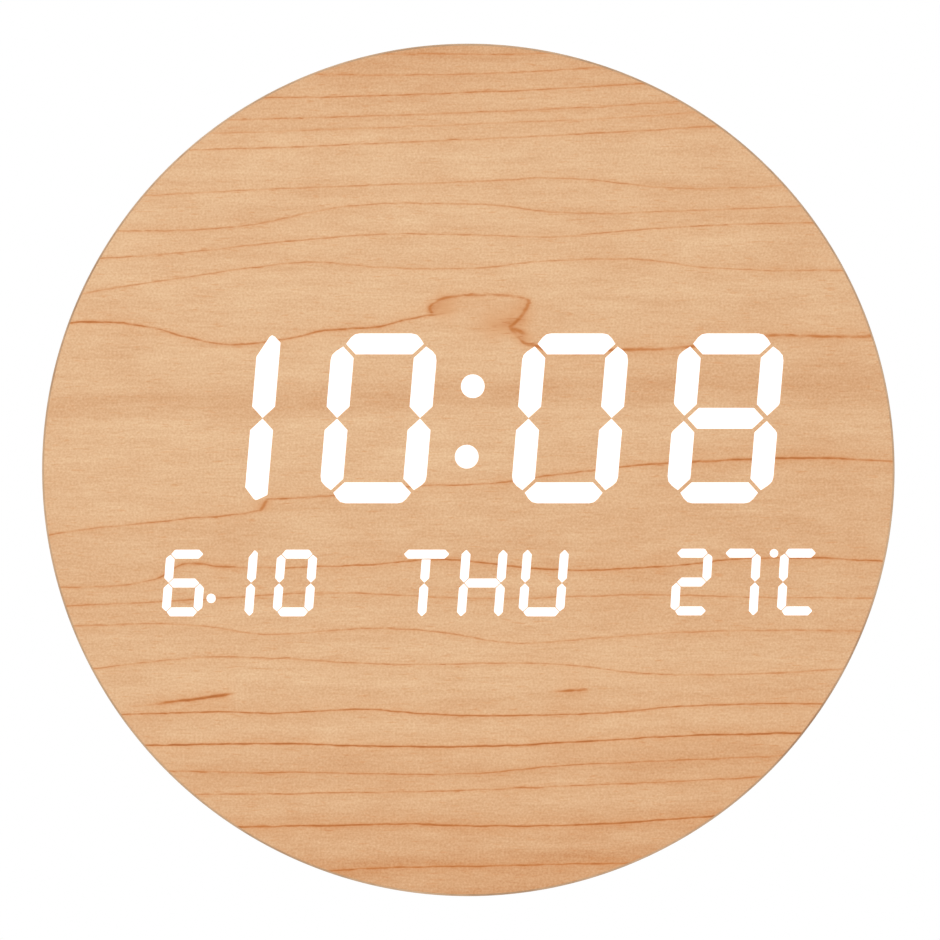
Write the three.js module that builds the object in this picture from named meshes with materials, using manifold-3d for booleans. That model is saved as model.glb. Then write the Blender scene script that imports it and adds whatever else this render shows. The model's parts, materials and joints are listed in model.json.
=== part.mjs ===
// Round digital wall clock: a maple-veneered disc whose white segments shine through the face,
// with a moulded rear cover that holds the hanger, buttons, coin-cell door and power inlet.
// Millimetres. X runs right seen from the front, Y from the front towards the wall, Z up.
// The origin is on the disc's axis, in the wall plane.
import * as THREE from "three";
import { mergeVertices } from "three/addons/utils/BufferGeometryUtils.js";
import Module from "manifold-3d";

const wasm = await Module();
wasm.setup();

// Modelling: how far a cutting body runs past a face, and the fineness of curves
const PAST = 1;
const MERGE = 1e-4;
const CORNER_SHARE = 0.48;
const BOX_STEPS = 6;
const LIT_STEPS = 2;
const RIBBON_STEPS = 14;

// Case
const CASE_DIAMETER = 300;
const CASE_DEPTH = 28;
const VENEER_THICKNESS = 0.6;
const PANEL_THICKNESS = 5;
const RIM_WALL = 12.4;
const BAND_THICKNESS = 0.6;
const BAND_CHAMFER = 0.3;
const GLUE_LINE = 0.1;
const CASE_SIDES = 120;

// Rear cover
const COVER_THICKNESS = 2.5;
const COVER_LEDGE = 7.4;
const COVER_CHAMFER = 0.5;
const WELL_WALL = 1.6;
const WELL_ROUND = 0.8;
const FIT = 0.3;
const COVER_SCREWS = 6;
const COVER_SCREW_LENGTH = 12;
const GROOVE_INSET = 10.2;
const GROOVE_WIDTH = 1.6;
const GROOVE_DEPTH = 0.8;
const PANE_WIDTH = 72;
const PANE_HEIGHT = 40;
const PANE_DEPTH = 0.4;
const PANE_ROUND = 5;
const PANE_Z = 42;

// Display stack, from the veneer back
const DIFFUSER_THICKNESS = 1;
const REFLECTOR_DEPTH = 11;
const BOARD_THICKNESS = 1.6;
const BASE_THICKNESS = 2.5;
const BASE_GAP = 0.2;
const MODULE_MARGIN = 1.6;
const BASE_MARGIN = 2.8;
const MODULE_ROUND = 2;
const WINDOW_GAP = 0.05;
const LED_HEIGHT = 1.2;
const LED_WIDTH = 3.5;

// Segment shapes: pitch between stroke centre lines, stroke widths, lean to the right for each unit up,
// gaps between the bevelled ends, the share of a 45-degree cut that a character's outer corners have,
// and how a stroke ends where no other lit stroke meets it
const TIME_STYLE = {
  pitchX: 29.2,
  pitchZ: 26.2,
  bar: 7.3,
  stem: 8,
  lean: 0.086,
  gap: 1.35,
  meet: 0.3,
  middleShort: 0.3,
  outerShare: 0.7,
  freeBar: 0.6,
  freeTop: { reach: 3.6, shift: 0.7, inner: 8.1, outer: 3.2 },
  freeBottom: { reach: 2.8, shift: -0.1, inner: 4.7, outer: 2.1 },
  round: 3.8,
  tipRound: 1.2,
};
const INFO_STYLE = {
  pitchX: 11.1,
  pitchZ: 10.15,
  bar: 3.1,
  stem: 3.05,
  lean: 0.08,
  gap: 0.32,
  meet: 0.3,
  middleShort: 0,
  outerShare: 0.8,
  freeBar: 0.4,
  freeTop: { reach: 1.6, shift: 0, inner: 1.7, outer: 1.6 },
  freeBottom: { reach: 1.6, shift: 0.1, inner: 1.6, outer: 1.5 },
  round: 0.8,
  tipRound: 0.4,
};
const DATE_STYLE = {
  ...INFO_STYLE,
  freeTop: { reach: 1.5, shift: 0.4, inner: 2.7, outer: 1.2 },
  freeBottom: { reach: 1.5, shift: 0.3, inner: 2, outer: 1.4 },
};
const WEEKDAY_STYLE = { ...INFO_STYLE, pitchX: 13, freeBar: 1.5 };
const TEMPERATURE_STYLE = { ...INFO_STYLE, pitchX: 10.6, lean: 0.06, outerShare: 0.65 };

// Where the characters stand
const INFO_Z = -39.8;
const ROW_SPACE = 16.4;
const HOUR_TENS_X = -87;
const HOUR_UNITS_X = -31.6;
const MINUTE_TENS_X = 35.8;
const MINUTE_UNITS_X = 90.5;
const COLON_X = 0.5;
const COLON_DROP = 1.1;
const COLON_SPREAD = 12.4;
const COLON_RADIUS = 4.15;
const MONTH_TENS_X = -117.8;
const MONTH_UNITS_X = -100;
const DATE_POINT_X = -90.5;
const DATE_POINT_DROP = 5.4;
const POINT_RADIUS = 1.65;
const DAY_TENS_X = -82;
const DAY_UNITS_X = -61;
const WEEKDAY_X = [-15.5, 4.9, 26.45];
const TEMPERATURE_RISE = 0.35;
const DEGREES_TENS_X = 78.5;
const DEGREES_UNITS_X = 95.55;
const DEGREE_POINT_X = 107.55;
const DEGREE_POINT_RISE = 10.1;
const DEGREE_POINT_RADIUS = 1.5;
const UNIT_X = 116;

// Boards and screws
const DISPLAY_BOARD_MARGIN = 3.85;
const DISPLAY_BOARD_TOP = 10;
const DISPLAY_BOARD_ROUND = 15;
const BOARD_SPACE = 6;
const CONTROL_BOARD_WIDTH = 120;
const CONTROL_BOARD_HEIGHT = 44;
const CONTROL_BOARD_ROUND = 2;
const BOSS_RADIUS = 3.5;
const BOSS_INSET_X = 5;
const BOSS_INSET_Z = 5;
const TIME_BOSS_X = 80;
const SCREW_RADIUS = 1.45;
const SCREW_FIT = 0.1;
const SCREW_HEAD_RADIUS = 2.6;
const SCREW_HEAD_RIM = 0.3;
const SCREW_SINK = 0.2;
const SCREW_HEAD_HEIGHT = 1.6;
const RECESS_WIDTH = 0.8;
const RECESS_LENGTH = 3;
const RECESS_DEPTH = 0.9;
const PANEL_SCREW_BITE = 3.4;
const BOSS_BITE = 7;
const SCREW_END_ROOM = 0.6;

// Hanger
const HANGER_Z = 108;
const HANGER_WIDTH = 36;
const HANGER_HEIGHT = 38;
const HANGER_THICKNESS = 1.2;
const HANGER_RECESS = 2;
const HANGER_ROUND = 3;
const KEYHOLE_RADIUS = 5.2;
const KEYHOLE_DROP = 6;
const SLOT_HALF_WIDTH = 2.6;
const SLOT_RISE = 8;
const POCKET_HALF_WIDTH = 8.2;
const POCKET_END_ROOM = 2;
const POCKET_DEPTH = 7.8;
const HANGER_SCREW_X = 13;
const HANGER_SCREW_LENGTH = 5.5;

// Buttons
const BUTTON_X = 34;
const BUTTON_PITCH = 14;
const BUTTON_RADIUS = 4.5;
const BUTTON_BELOW_WALL = 1;
const BUTTON_EDGE = 0.5;
const BUTTON_TRAVEL = 0.6;
const BUTTON_FLANGE = 1.2;
const BUTTON_FLANGE_THICKNESS = 1;
const BUTTON_STEM_RADIUS = 2;
const DISH_MARGIN = 3.6;
const DISH_DEPTH = 2.5;
const SWITCH_WIDTH = 6;
const SWITCH_HEIGHT = 3.5;
const PLUNGER_RADIUS = 1.7;
const PLUNGER_RISE = 0.7;
const PLUNGER_GAP = 0.05;

// Coin cell and its door
const CELL_X = -32;
const CELL_RADIUS = 10;
const CELL_THICKNESS = 3.2;
const CELL_STEP = 0.8;
const HOLDER_FLOOR = 1;
const HOLDER_WALL = 1.7;
const HOLDER_WALL_HEIGHT = 2.4;
const HOLDER_GAP = 10;
const WELL_ROOM_X = 0.9;
const WELL_ROOM_Z = 3;
const DOOR_THICKNESS = 2;
const DOOR_BELOW_WALL = 0.4;
const HINGE_RADIUS = 1.4;
const HINGE_PIN_RADIUS = 0.9;
const HINGE_PIN_LENGTH = 1.2;
const HINGE_FIT = 0.1;
const DOOR_LEDGE = 1.4;
const FINGER_NOTCH_RADIUS = 5;
const FINGER_NOTCH_DEPTH = 1.6;

// Power inlet and cord way
const JACK_WIDTH = 9;
const JACK_HEIGHT = 10.4;
const JACK_LENGTH = 14.4;
const JACK_AXIS_HEIGHT = 6.2;
const JACK_BORE_RADIUS = 3.1;
const JACK_BORE_DEPTH = 9.6;
const JACK_OVERHANG = 2.6;
const JACK_PIN_RADIUS = 1;
const JACK_PIN_LENGTH = 8.4;
const JACK_PIN_ROOT = 2.5;
const PLUG_HALF_WIDTH = 7;
const PLUG_FLOOR_ROOM = 6.4;
const CORD_WIDTH = 6.5;
const CORD_DEPTH = 8;

// Small parts on the boards
const CHIP = [18, 2.3, 7.5];
const CHIP_INSET = 6;
const DRIVER_X = -30;
const CRYSTAL_RADIUS = 1.5;
const CRYSTAL_LENGTH = 8;
const CRYSTAL_GAP = 0.5;
const CAPACITOR_RADIUS = 4;
const CAPACITOR_HEIGHT = 9;
const CAPACITOR_X = 13;
const CAPACITOR_INSET = 6;
const SENSOR_RADIUS = 1.6;
const SENSOR_HEIGHT = 4;
const SENSOR_X = -11;
const SENSOR_INSET = 5;
const VENT_WIDTH = 1.2;
const VENT_LENGTH = 9;
const VENT_PITCH = 2.6;
const SOCKET = [14, 6, 5];
const SOCKET_X = 32;
const SOCKET_INSET = 4.5;
const RIBBON_WIDTH = 12;
const RIBBON_THICKNESS = 1;
const RIBBON_RISE = 3.6;

const bandRadius = CASE_DIAMETER / 2;
const bandInnerRadius = bandRadius - BAND_THICKNESS;
const coreRadius = bandInnerRadius - GLUE_LINE;
const rimInnerRadius = coreRadius - RIM_WALL;
const rebateRadius = rimInnerRadius + COVER_LEDGE;
const coverRadius = rebateRadius - FIT;
const coverScrewRadius = rimInnerRadius + COVER_LEDGE / 2;

const frontY = -CASE_DEPTH;
const panelFrontY = frontY + VENEER_THICKNESS;
const panelBackY = panelFrontY + PANEL_THICKNESS;
const diffuserBackY = panelFrontY + DIFFUSER_THICKNESS;
const boardFrontY = diffuserBackY + REFLECTOR_DEPTH;
const boardBackY = boardFrontY + BOARD_THICKNESS;
const coverInnerY = -COVER_THICKNESS;
const coverMiddleY = coverInnerY / 2;
const hangerOuterY = -HANGER_RECESS;
const hangerInnerY = hangerOuterY - HANGER_THICKNESS;
const pocketFloorY = hangerInnerY - POCKET_DEPTH;
const dishFloorY = -DISH_DEPTH;
const dishInnerY = dishFloorY - COVER_THICKNESS;
const jackAxisY = boardBackY + JACK_AXIS_HEIGHT;
const plugFloorY = jackAxisY - PLUG_FLOOR_ROOM;

const timeHalf = TIME_STYLE.pitchZ + TIME_STYLE.bar / 2;
const infoHalf = INFO_STYLE.pitchZ + INFO_STYLE.bar / 2;
const infoBottom = INFO_Z - infoHalf;
const timeBottom = INFO_Z + infoHalf + ROW_SPACE;
const timeZ = timeBottom + timeHalf;
const timeTop = timeZ + timeHalf;
const displayTop = timeTop + DISPLAY_BOARD_TOP;
const displayBottom = infoBottom - DISPLAY_BOARD_MARGIN;
const controlTop = displayBottom - BOARD_SPACE;
const controlBottom = controlTop - CONTROL_BOARD_HEIGHT;
const controlZ = (controlTop + controlBottom) / 2;
const jackMouthZ = controlBottom - JACK_OVERHANG;
const jackBackZ = jackMouthZ + JACK_LENGTH;

const material = (color, roughness, metalness) =>
  new THREE.MeshStandardMaterial({ color, roughness, metalness });
const maple = material(0xe2b58a, 0.5, 0);
const bandWood = material(0xb9a48c, 0.55, 0);
const fibreboard = material(0xa98662, 0.8, 0);
const coverPlastic = material(0xd9d6cf, 0.55, 0);
const buttonPlastic = material(0x4a4c50, 0.5, 0);
const reflectorPlastic = material(0xeeeeea, 0.5, 0);
const litPlastic = material(0xffffff, 0.4, 0);
litPlastic.emissive = new THREE.Color(0xffffff);
const boardGreen = material(0x1d6b45, 0.5, 0);
const chipBlack = material(0x1b1c1e, 0.5, 0);
const zincSteel = material(0xb8bcc0, 0.35, 1);
const brass = material(0xc9a24a, 0.3, 1);
const socketWhite = material(0xe6e2d6, 0.5, 0);
const ribbonGrey = material(0x9a9da3, 0.6, 0);

const at = (x, z) => new THREE.Vector2(x, z);

function solidOf(geometry) {
  const bare = geometry.index ? geometry.toNonIndexed() : geometry.clone();
  bare.deleteAttribute("normal");
  bare.deleteAttribute("uv");
  const merged = mergeVertices(bare, MERGE);
  const corners = merged.index.array;
  const kept = [];
  for (let i = 0; i < corners.length; i += 3) {
    const [a, b, c] = [corners[i], corners[i + 1], corners[i + 2]];
    if (a !== b && b !== c && c !== a) kept.push(a, b, c);
  }
  const mesh = new wasm.Mesh({
    numProp: 3,
    vertProperties: new Float32Array(merged.attributes.position.array),
    triVerts: new Uint32Array(kept),
  });
  return new wasm.Manifold(mesh);
}

function geometryOf(solid) {
  const mesh = solid.getMesh();
  const geometry = new THREE.BufferGeometry();
  geometry.setAttribute("position", new THREE.BufferAttribute(mesh.vertProperties, 3));
  geometry.setIndex(new THREE.BufferAttribute(mesh.triVerts, 1));
  return geometry;
}

const join = (first, ...rest) => rest.reduce((whole, piece) => whole.add(piece), first);
const cut = (first, ...tools) => tools.reduce((whole, tool) => whole.subtract(tool), first);

// A prism of an outline drawn in X and Z, between two depths
function prism(outline, y0, y1) {
  const shape = outline instanceof THREE.Shape ? outline : new THREE.Shape(outline);
  const geometry = new THREE.ExtrudeGeometry(shape, { depth: y1 - y0, bevelEnabled: false });
  geometry.rotateX(Math.PI / 2);
  geometry.translate(0, y1, 0);
  return solidOf(geometry);
}

function block(x0, x1, y0, y1, z0, z1) {
  const geometry = new THREE.BoxGeometry(x1 - x0, y1 - y0, z1 - z0);
  geometry.translate((x0 + x1) / 2, (y0 + y1) / 2, (z0 + z1) / 2);
  return solidOf(geometry);
}

// Facets round a curve, more of them on a larger one
function sidesOf(radius) {
  if (radius < 2) return 12;
  return radius < 4 ? 20 : 32;
}

// A body of revolution about Y, from a profile of radius and depth pairs
function turned(profile, sides) {
  const points = profile.map(([radius, y]) => new THREE.Vector2(radius, y));
  return solidOf(new THREE.LatheGeometry(points, sides));
}

function rod(x, z, radius, y0, y1, sides = sidesOf(radius)) {
  const geometry = new THREE.CylinderGeometry(radius, radius, y1 - y0, sides);
  geometry.translate(x, (y0 + y1) / 2, z);
  return solidOf(geometry);
}

function rodAlongX(y, z, radius, x0, x1) {
  const geometry = new THREE.CylinderGeometry(radius, radius, x1 - x0, sidesOf(radius));
  geometry.rotateZ(Math.PI / 2);
  geometry.translate((x0 + x1) / 2, y, z);
  return solidOf(geometry);
}

function rodAlongZ(x, y, radius, z0, z1) {
  const geometry = new THREE.CylinderGeometry(radius, radius, z1 - z0, sidesOf(radius));
  geometry.rotateX(Math.PI / 2);
  geometry.translate(x, y, (z0 + z1) / 2);
  return solidOf(geometry);
}

// Corners with a radius of their own become short curves
function rounded(corners, steps) {
  const points = [];
  corners.forEach((corner, i) => {
    const before = corners[(i + corners.length - 1) % corners.length].point;
    const after = corners[(i + 1) % corners.length].point;
    const here = corner.point;
    if (!corner.radius) {
      points.push(here);
      return;
    }
    const back = before.clone().sub(here);
    const ahead = after.clone().sub(here);
    const angle = Math.acos(back.dot(ahead) / back.length() / ahead.length());
    const limit = Math.min(back.length(), ahead.length()) * CORNER_SHARE;
    const length = Math.min(corner.radius / Math.tan(angle / 2), limit);
    const start = here.clone().add(back.setLength(length));
    const end = here.clone().add(ahead.setLength(length));
    const curve = new THREE.QuadraticBezierCurve(start, here, end);
    points.push(...curve.getPoints(steps));
  });
  return points;
}

function roundedBox(x0, x1, z0, z1, radius) {
  const corners = [at(x0, z0), at(x1, z0), at(x1, z1), at(x0, z1)];
  return rounded(corners.map((point) => ({ point, radius })), BOX_STEPS);
}

function circle(x, z, radius) {
  const points = [];
  const sides = sidesOf(radius);
  for (let i = 0; i < sides; i += 1) {
    const angle = (2 * Math.PI * i) / sides;
    points.push(at(x + radius * Math.cos(angle), z + radius * Math.sin(angle)));
  }
  return points;
}

// A convex outline moved outwards by a distance
function grown(outline, distance) {
  const points = THREE.ShapeUtils.isClockWise(outline) ? [...outline].reverse() : outline;
  return points.map((here, i) => {
    const before = points[(i + points.length - 1) % points.length];
    const after = points[(i + 1) % points.length];
    const first = here.clone().sub(before).normalize();
    const second = after.clone().sub(here).normalize();
    const normal = at(first.y + second.y, -first.x - second.x).normalize();
    const reach = distance / normal.dot(at(first.y, -first.x));
    return here.clone().addScaledVector(normal, reach);
  });
}

// Strokes of a character, each from one node of its grid to another: columns and rows count from the middle
const STROKES = {
  a: [[-1, 1], [1, 1]],
  b: [[1, 0], [1, 1]],
  c: [[1, -1], [1, 0]],
  d: [[-1, -1], [1, -1]],
  e: [[-1, -1], [-1, 0]],
  f: [[-1, 0], [-1, 1]],
  g: [[-1, 0], [1, 0]],
  i: [[0, 0], [0, 1]],
  j: [[0, -1], [0, 0]],
  k: [[-1, 0], [0, 0]],
  l: [[0, 0], [1, 0]],
};
const LIT = {
  0: "abcdef",
  1: "bc",
  2: "abdeg",
  6: "acdefg",
  7: "abc",
  8: "abcdefg",
  C: "adef",
  H: "bcefg",
  U: "bcdef",
  T: "aij",
};
const SEVEN = "abcdefg";
const ONE_ONLY = "bc";
const STAR = "abcdefijkl";
const UNIT_STROKES = "adefg";

const isBar = (stroke) => STROKES[stroke][0][1] === STROKES[stroke][1][1];
const touches = (stroke, node) => STROKES[stroke].some((end) => end[0] === node[0] && end[1] === node[1]);

// How one end of a stroke is shaped: its reach past the node, and how far back its two shoulders lie
function strokeEnd(style, stroke, end, others) {
  const node = STROKES[stroke][end];
  const bar = isBar(stroke);
  const half = (bar ? style.bar : style.stem) / 2;
  const meeting = others.filter((other) => other !== stroke && touches(other, node));
  if (!bar && node[0] === 0 && node[1] === 1) {
    return { reach: -style.bar / 2 - style.gap, shift: 0, inner: 0, outer: 0, round: 0, tipRound: 0 };
  }
  if (meeting.some((other) => isBar(other) !== bar)) {
    const short = bar && node[1] === 0 ? style.middleShort : 0;
    const middle = node[1] === 0;
    const outer = middle ? half : half * style.outerShare;
    const round = middle ? style.round / 2 : style.round;
    return { reach: -style.gap / Math.SQRT2 - short, shift: 0, inner: half, outer, round, tipRound: 0 };
  }
  if (meeting.length > 0) {
    return { reach: -style.meet / 2, shift: 0, inner: half, outer: half, round: 0, tipRound: 0 };
  }
  if (bar) {
    return { reach: style.freeBar, shift: 0, inner: half, outer: half, round: 0, tipRound: style.tipRound };
  }
  const free = node[1] > 0 ? style.freeTop : style.freeBottom;
  return { ...free, round: 0, tipRound: style.tipRound };
}

// The outline of one stroke among those that share its character, placed in the clock's X and Z
function strokeOutline(style, x, z, stroke, others, steps) {
  const [from, to] = STROKES[stroke];
  const bar = isBar(stroke);
  const half = (bar ? style.bar : style.stem) / 2;
  const along = bar ? style.pitchX / 2 : style.pitchZ;
  const across = bar ? style.pitchZ : style.pitchX / 2;
  const first = strokeEnd(style, stroke, 0, others);
  const last = strokeEnd(style, stroke, 1, others);
  const start = along * (bar ? from[0] : from[1]) - first.reach;
  const stop = along * (bar ? to[0] : to[1]) + last.reach;
  const line = across * (bar ? from[1] : from[0]);
  const side = Math.sign(line);
  const shoulder = (end, direction) => (direction === side ? end.outer : end.inner);
  const shoulderRound = (end, direction) => (direction === side ? end.round : 0);
  const tip = (end, s) => ({ s, n: end.shift * side, radius: end.tipRound });
  const low = (end, s) => ({ s, n: -half, radius: shoulderRound(end, -1) });
  const high = (end, s) => ({ s, n: half, radius: shoulderRound(end, 1) });
  const corners = [
    low(first, start + shoulder(first, -1)),
    low(last, stop - shoulder(last, -1)),
    ...(last.inner ? [tip(last, stop)] : []),
    high(last, stop - shoulder(last, 1)),
    high(first, start + shoulder(first, 1)),
    ...(first.inner ? [tip(first, start)] : []),
  ];
  const placed = corners.map(({ s, n, radius }) => {
    const u = bar ? s : line + n;
    const v = bar ? line + n : s;
    return { point: at(x + u + style.lean * v, z + v), radius: steps ? radius : 0 };
  });
  return rounded(placed, steps);
}

function strokeCentre(style, x, z, stroke) {
  const [from, to] = STROKES[stroke];
  const u = ((from[0] + to[0]) / 2) * (style.pitchX / 2);
  const v = ((from[1] + to[1]) / 2) * style.pitchZ;
  return at(x + u + style.lean * v, z + v);
}

// The light modules: characters with the strokes they have, round points, and the span they cover
const colonZ = timeZ - COLON_DROP;
const temperatureZ = INFO_Z + TEMPERATURE_RISE;
const modules = [
  {
    name: "hour_tens",
    style: TIME_STYLE,
    z: timeZ,
    characters: [{ x: HOUR_TENS_X, lit: LIT[1], strokes: SEVEN }],
    points: [],
  },
  {
    name: "hour_units",
    style: TIME_STYLE,
    z: timeZ,
    characters: [{ x: HOUR_UNITS_X, lit: LIT[0], strokes: SEVEN }],
    points: [],
  },
  {
    name: "colon",
    style: TIME_STYLE,
    z: colonZ,
    characters: [],
    points: [1, -1].map((side) => ({
      x: COLON_X + side * COLON_SPREAD * TIME_STYLE.lean,
      z: colonZ + side * COLON_SPREAD,
      radius: COLON_RADIUS,
    })),
  },
  {
    name: "minute_tens",
    style: TIME_STYLE,
    z: timeZ,
    characters: [{ x: MINUTE_TENS_X, lit: LIT[0], strokes: SEVEN }],
    points: [],
  },
  {
    name: "minute_units",
    style: TIME_STYLE,
    z: timeZ,
    characters: [{ x: MINUTE_UNITS_X, lit: LIT[8], strokes: SEVEN }],
    points: [],
  },
  {
    name: "date",
    style: DATE_STYLE,
    z: INFO_Z,
    characters: [
      { x: MONTH_TENS_X, lit: "", strokes: ONE_ONLY },
      { x: MONTH_UNITS_X, lit: LIT[6], strokes: SEVEN },
      { x: DAY_TENS_X, lit: LIT[1], strokes: SEVEN },
      { x: DAY_UNITS_X, lit: LIT[0], strokes: SEVEN },
    ],
    points: [{ x: DATE_POINT_X, z: INFO_Z - DATE_POINT_DROP, radius: POINT_RADIUS }],
  },
  {
    name: "weekday",
    style: WEEKDAY_STYLE,
    z: INFO_Z,
    characters: [
      { x: WEEKDAY_X[0], lit: LIT.T, strokes: STAR },
      { x: WEEKDAY_X[1], lit: LIT.H, strokes: SEVEN },
      { x: WEEKDAY_X[2], lit: LIT.U, strokes: SEVEN },
    ],
    points: [],
  },
  {
    name: "temperature",
    style: TEMPERATURE_STYLE,
    z: temperatureZ,
    characters: [
      { x: DEGREES_TENS_X, lit: LIT[2], strokes: SEVEN },
      { x: DEGREES_UNITS_X, lit: LIT[7], strokes: SEVEN },
      { x: UNIT_X, lit: LIT.C, strokes: UNIT_STROKES },
    ],
    points: [{ x: DEGREE_POINT_X, z: temperatureZ + DEGREE_POINT_RISE, radius: DEGREE_POINT_RADIUS }],
  },
];

for (const module of modules) {
  const { style, characters, points, z } = module;
  const reach = style.pitchX / 2 + style.stem / 2;
  const rights = characters.map(({ x }) => x + reach);
  const leftOf = ({ x, strokes }) => (strokes === ONE_ONLY ? x + reach - style.stem : x - reach);
  const lefts = characters.map(leftOf);
  const centre = (point) => point.x - style.lean * (point.z - z);
  module.left = Math.min(...lefts, ...points.map((point) => centre(point) - point.radius));
  module.right = Math.max(...rights, ...points.map((point) => centre(point) + point.radius));
  module.half = characters.length ? style.pitchZ + style.bar / 2 : COLON_SPREAD + COLON_RADIUS;
  const dots = points.map((point) => circle(point.x, point.z, point.radius));
  const outlines = (pick, steps) =>
    characters.flatMap(({ x, [pick]: strokes }) =>
      [...strokes].map((stroke) => strokeOutline(style, x, z, stroke, [...strokes], steps)));
  module.litOutlines = [...outlines("lit", LIT_STEPS), ...dots];
  module.cavityOutlines = [...outlines("strokes", 0), ...dots];
  const centres = ({ x, strokes }) => [...strokes].map((stroke) => strokeCentre(style, x, z, stroke));
  module.ledCentres = [...characters.flatMap(centres), ...points.map((point) => at(point.x, point.z))];
}
const timeModules = modules.filter((module) => module.style === TIME_STYLE);
const infoModules = modules.filter((module) => module.style !== TIME_STYLE);

// A leaning box round a span of characters
function leaningBox(left, right, z, half, lean, margin, radius) {
  const corner = (x, v) => ({ point: at(x + lean * v, z + v), radius });
  const reach = half + margin;
  const corners = [
    corner(left - margin, -reach),
    corner(right + margin, -reach),
    corner(right + margin, reach),
    corner(left - margin, reach),
  ];
  return rounded(corners, 1);
}

const moduleBox = (module, margin) =>
  leaningBox(module.left, module.right, module.z, module.half, module.style.lean, margin, MODULE_ROUND);

// Screw positions shared by the reflectors, the display board and the panel
const timeBossTop = timeTop + BASE_MARGIN + BOSS_RADIUS;
const timeBossBottom = timeBottom - BASE_MARGIN - BOSS_RADIUS;
const timeBosses = [-TIME_BOSS_X, TIME_BOSS_X].flatMap((x) => [at(x, timeBossTop), at(x, timeBossBottom)]);
const infoBosses = [0, 1].map((i) => at((infoModules[i].right + infoModules[i + 1].left) / 2, INFO_Z));
const boardScrews = [...timeBosses, ...infoBosses];
const controlBossX = CONTROL_BOARD_WIDTH / 2 - BOSS_INSET_X;
const controlBosses = [-controlBossX, controlBossX].flatMap((x) => [
  at(x, controlTop - BOSS_INSET_Z),
  at(x, controlBottom + BOSS_INSET_Z),
]);
const coverScrews = Array.from({ length: COVER_SCREWS }, (_, i) => {
  const angle = (2 * Math.PI * i) / COVER_SCREWS;
  return at(coverScrewRadius * Math.cos(angle), coverScrewRadius * Math.sin(angle));
});

const screwHole = (spot, y0, y1) => rod(spot.x, spot.y, SCREW_RADIUS + SCREW_FIT, y0, y1);

// The room inside the rim
const insideRim = rod(0, 0, rimInnerRadius - FIT, -CASE_DEPTH, PAST, CASE_SIDES);

// Front
const windows = modules.flatMap((module) => module.litOutlines);
const faceVeneer = cut(
  rod(0, 0, coreRadius, frontY, panelFrontY, CASE_SIDES),
  ...windows.map((outline) => prism(grown(outline, WINDOW_GAP), frontY - PAST, panelFrontY + PAST)),
);

const panelHoleEndY = panelBackY - PANEL_SCREW_BITE - SCREW_END_ROOM;
const moduleOpening = (module) =>
  prism(moduleBox(module, MODULE_MARGIN + FIT), panelFrontY - PAST, panelBackY + PAST);
const frontPanel = cut(
  rod(0, 0, coreRadius, panelFrontY, panelBackY, CASE_SIDES),
  ...modules.map(moduleOpening),
  ...boardScrews.map((spot) => screwHole(spot, panelHoleEndY, panelBackY + PAST)),
);

const cordNotch = block(
  -CORD_WIDTH / 2,
  CORD_WIDTH / 2,
  -CORD_DEPTH,
  PAST,
  -bandRadius - PAST,
  -rimInnerRadius + PAST,
);
const caseRim = cut(
  turned(
    [
      [rimInnerRadius, panelBackY],
      [coreRadius, panelBackY],
      [coreRadius, 0],
      [rebateRadius, 0],
      [rebateRadius, coverInnerY],
      [rimInnerRadius, coverInnerY],
      [rimInnerRadius, panelBackY],
    ],
    CASE_SIDES,
  ),
  cordNotch,
  ...coverScrews.map((spot) => screwHole(spot, -COVER_SCREW_LENGTH - SCREW_END_ROOM, coverInnerY + PAST)),
);

const edgeBand = cut(
  turned(
    [
      [bandInnerRadius, frontY],
      [bandRadius - BAND_CHAMFER, frontY],
      [bandRadius, frontY + BAND_CHAMFER],
      [bandRadius, 0],
      [bandInnerRadius, 0],
      [bandInnerRadius, frontY],
    ],
    CASE_SIDES,
  ),
  cordNotch,
);

// Display
const diffuserOf = (module) =>
  join(
    prism(moduleBox(module, MODULE_MARGIN), panelFrontY, diffuserBackY),
    ...module.litOutlines.map((outline) => prism(grown(outline, -WINDOW_GAP), frontY, diffuserBackY)),
  );

const baseFrontY = panelBackY + BASE_GAP;
const baseBackY = baseFrontY + BASE_THICKNESS;

function reflectorOf(group, bosses, ears) {
  const [first, last] = [group[0], group[group.length - 1]];
  const { z, half, style } = first;
  const base = leaningBox(first.left, last.right, z, half, style.lean, BASE_MARGIN, MODULE_ROUND);
  const body = join(
    prism(base, baseFrontY, baseBackY),
    ...group.map((module) => prism(moduleBox(module, MODULE_MARGIN), diffuserBackY, boardFrontY)),
    ...ears,
    ...bosses.map((spot) => rod(spot.x, spot.y, BOSS_RADIUS, baseFrontY, boardFrontY)),
  );
  const cavities = group.flatMap((module) => module.cavityOutlines);
  return cut(
    body,
    ...cavities.map((outline) => prism(outline, diffuserBackY - PAST, boardFrontY + PAST)),
    ...bosses.map((spot) => screwHole(spot, baseFrontY - PAST, boardFrontY + PAST)),
  );
}

const ears = timeBosses.map((spot) => {
  const inward = spot.y > timeZ ? -BOSS_RADIUS - MODULE_ROUND : BOSS_RADIUS + MODULE_ROUND;
  const [low, high] = [Math.min(spot.y, spot.y + inward), Math.max(spot.y, spot.y + inward)];
  return block(spot.x - BOSS_RADIUS, spot.x + BOSS_RADIUS, baseFrontY, baseBackY, low, high);
});
const timeReflector = reflectorOf(timeModules, timeBosses, ears);
const infoReflector = reflectorOf(infoModules, infoBosses, []);

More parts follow.
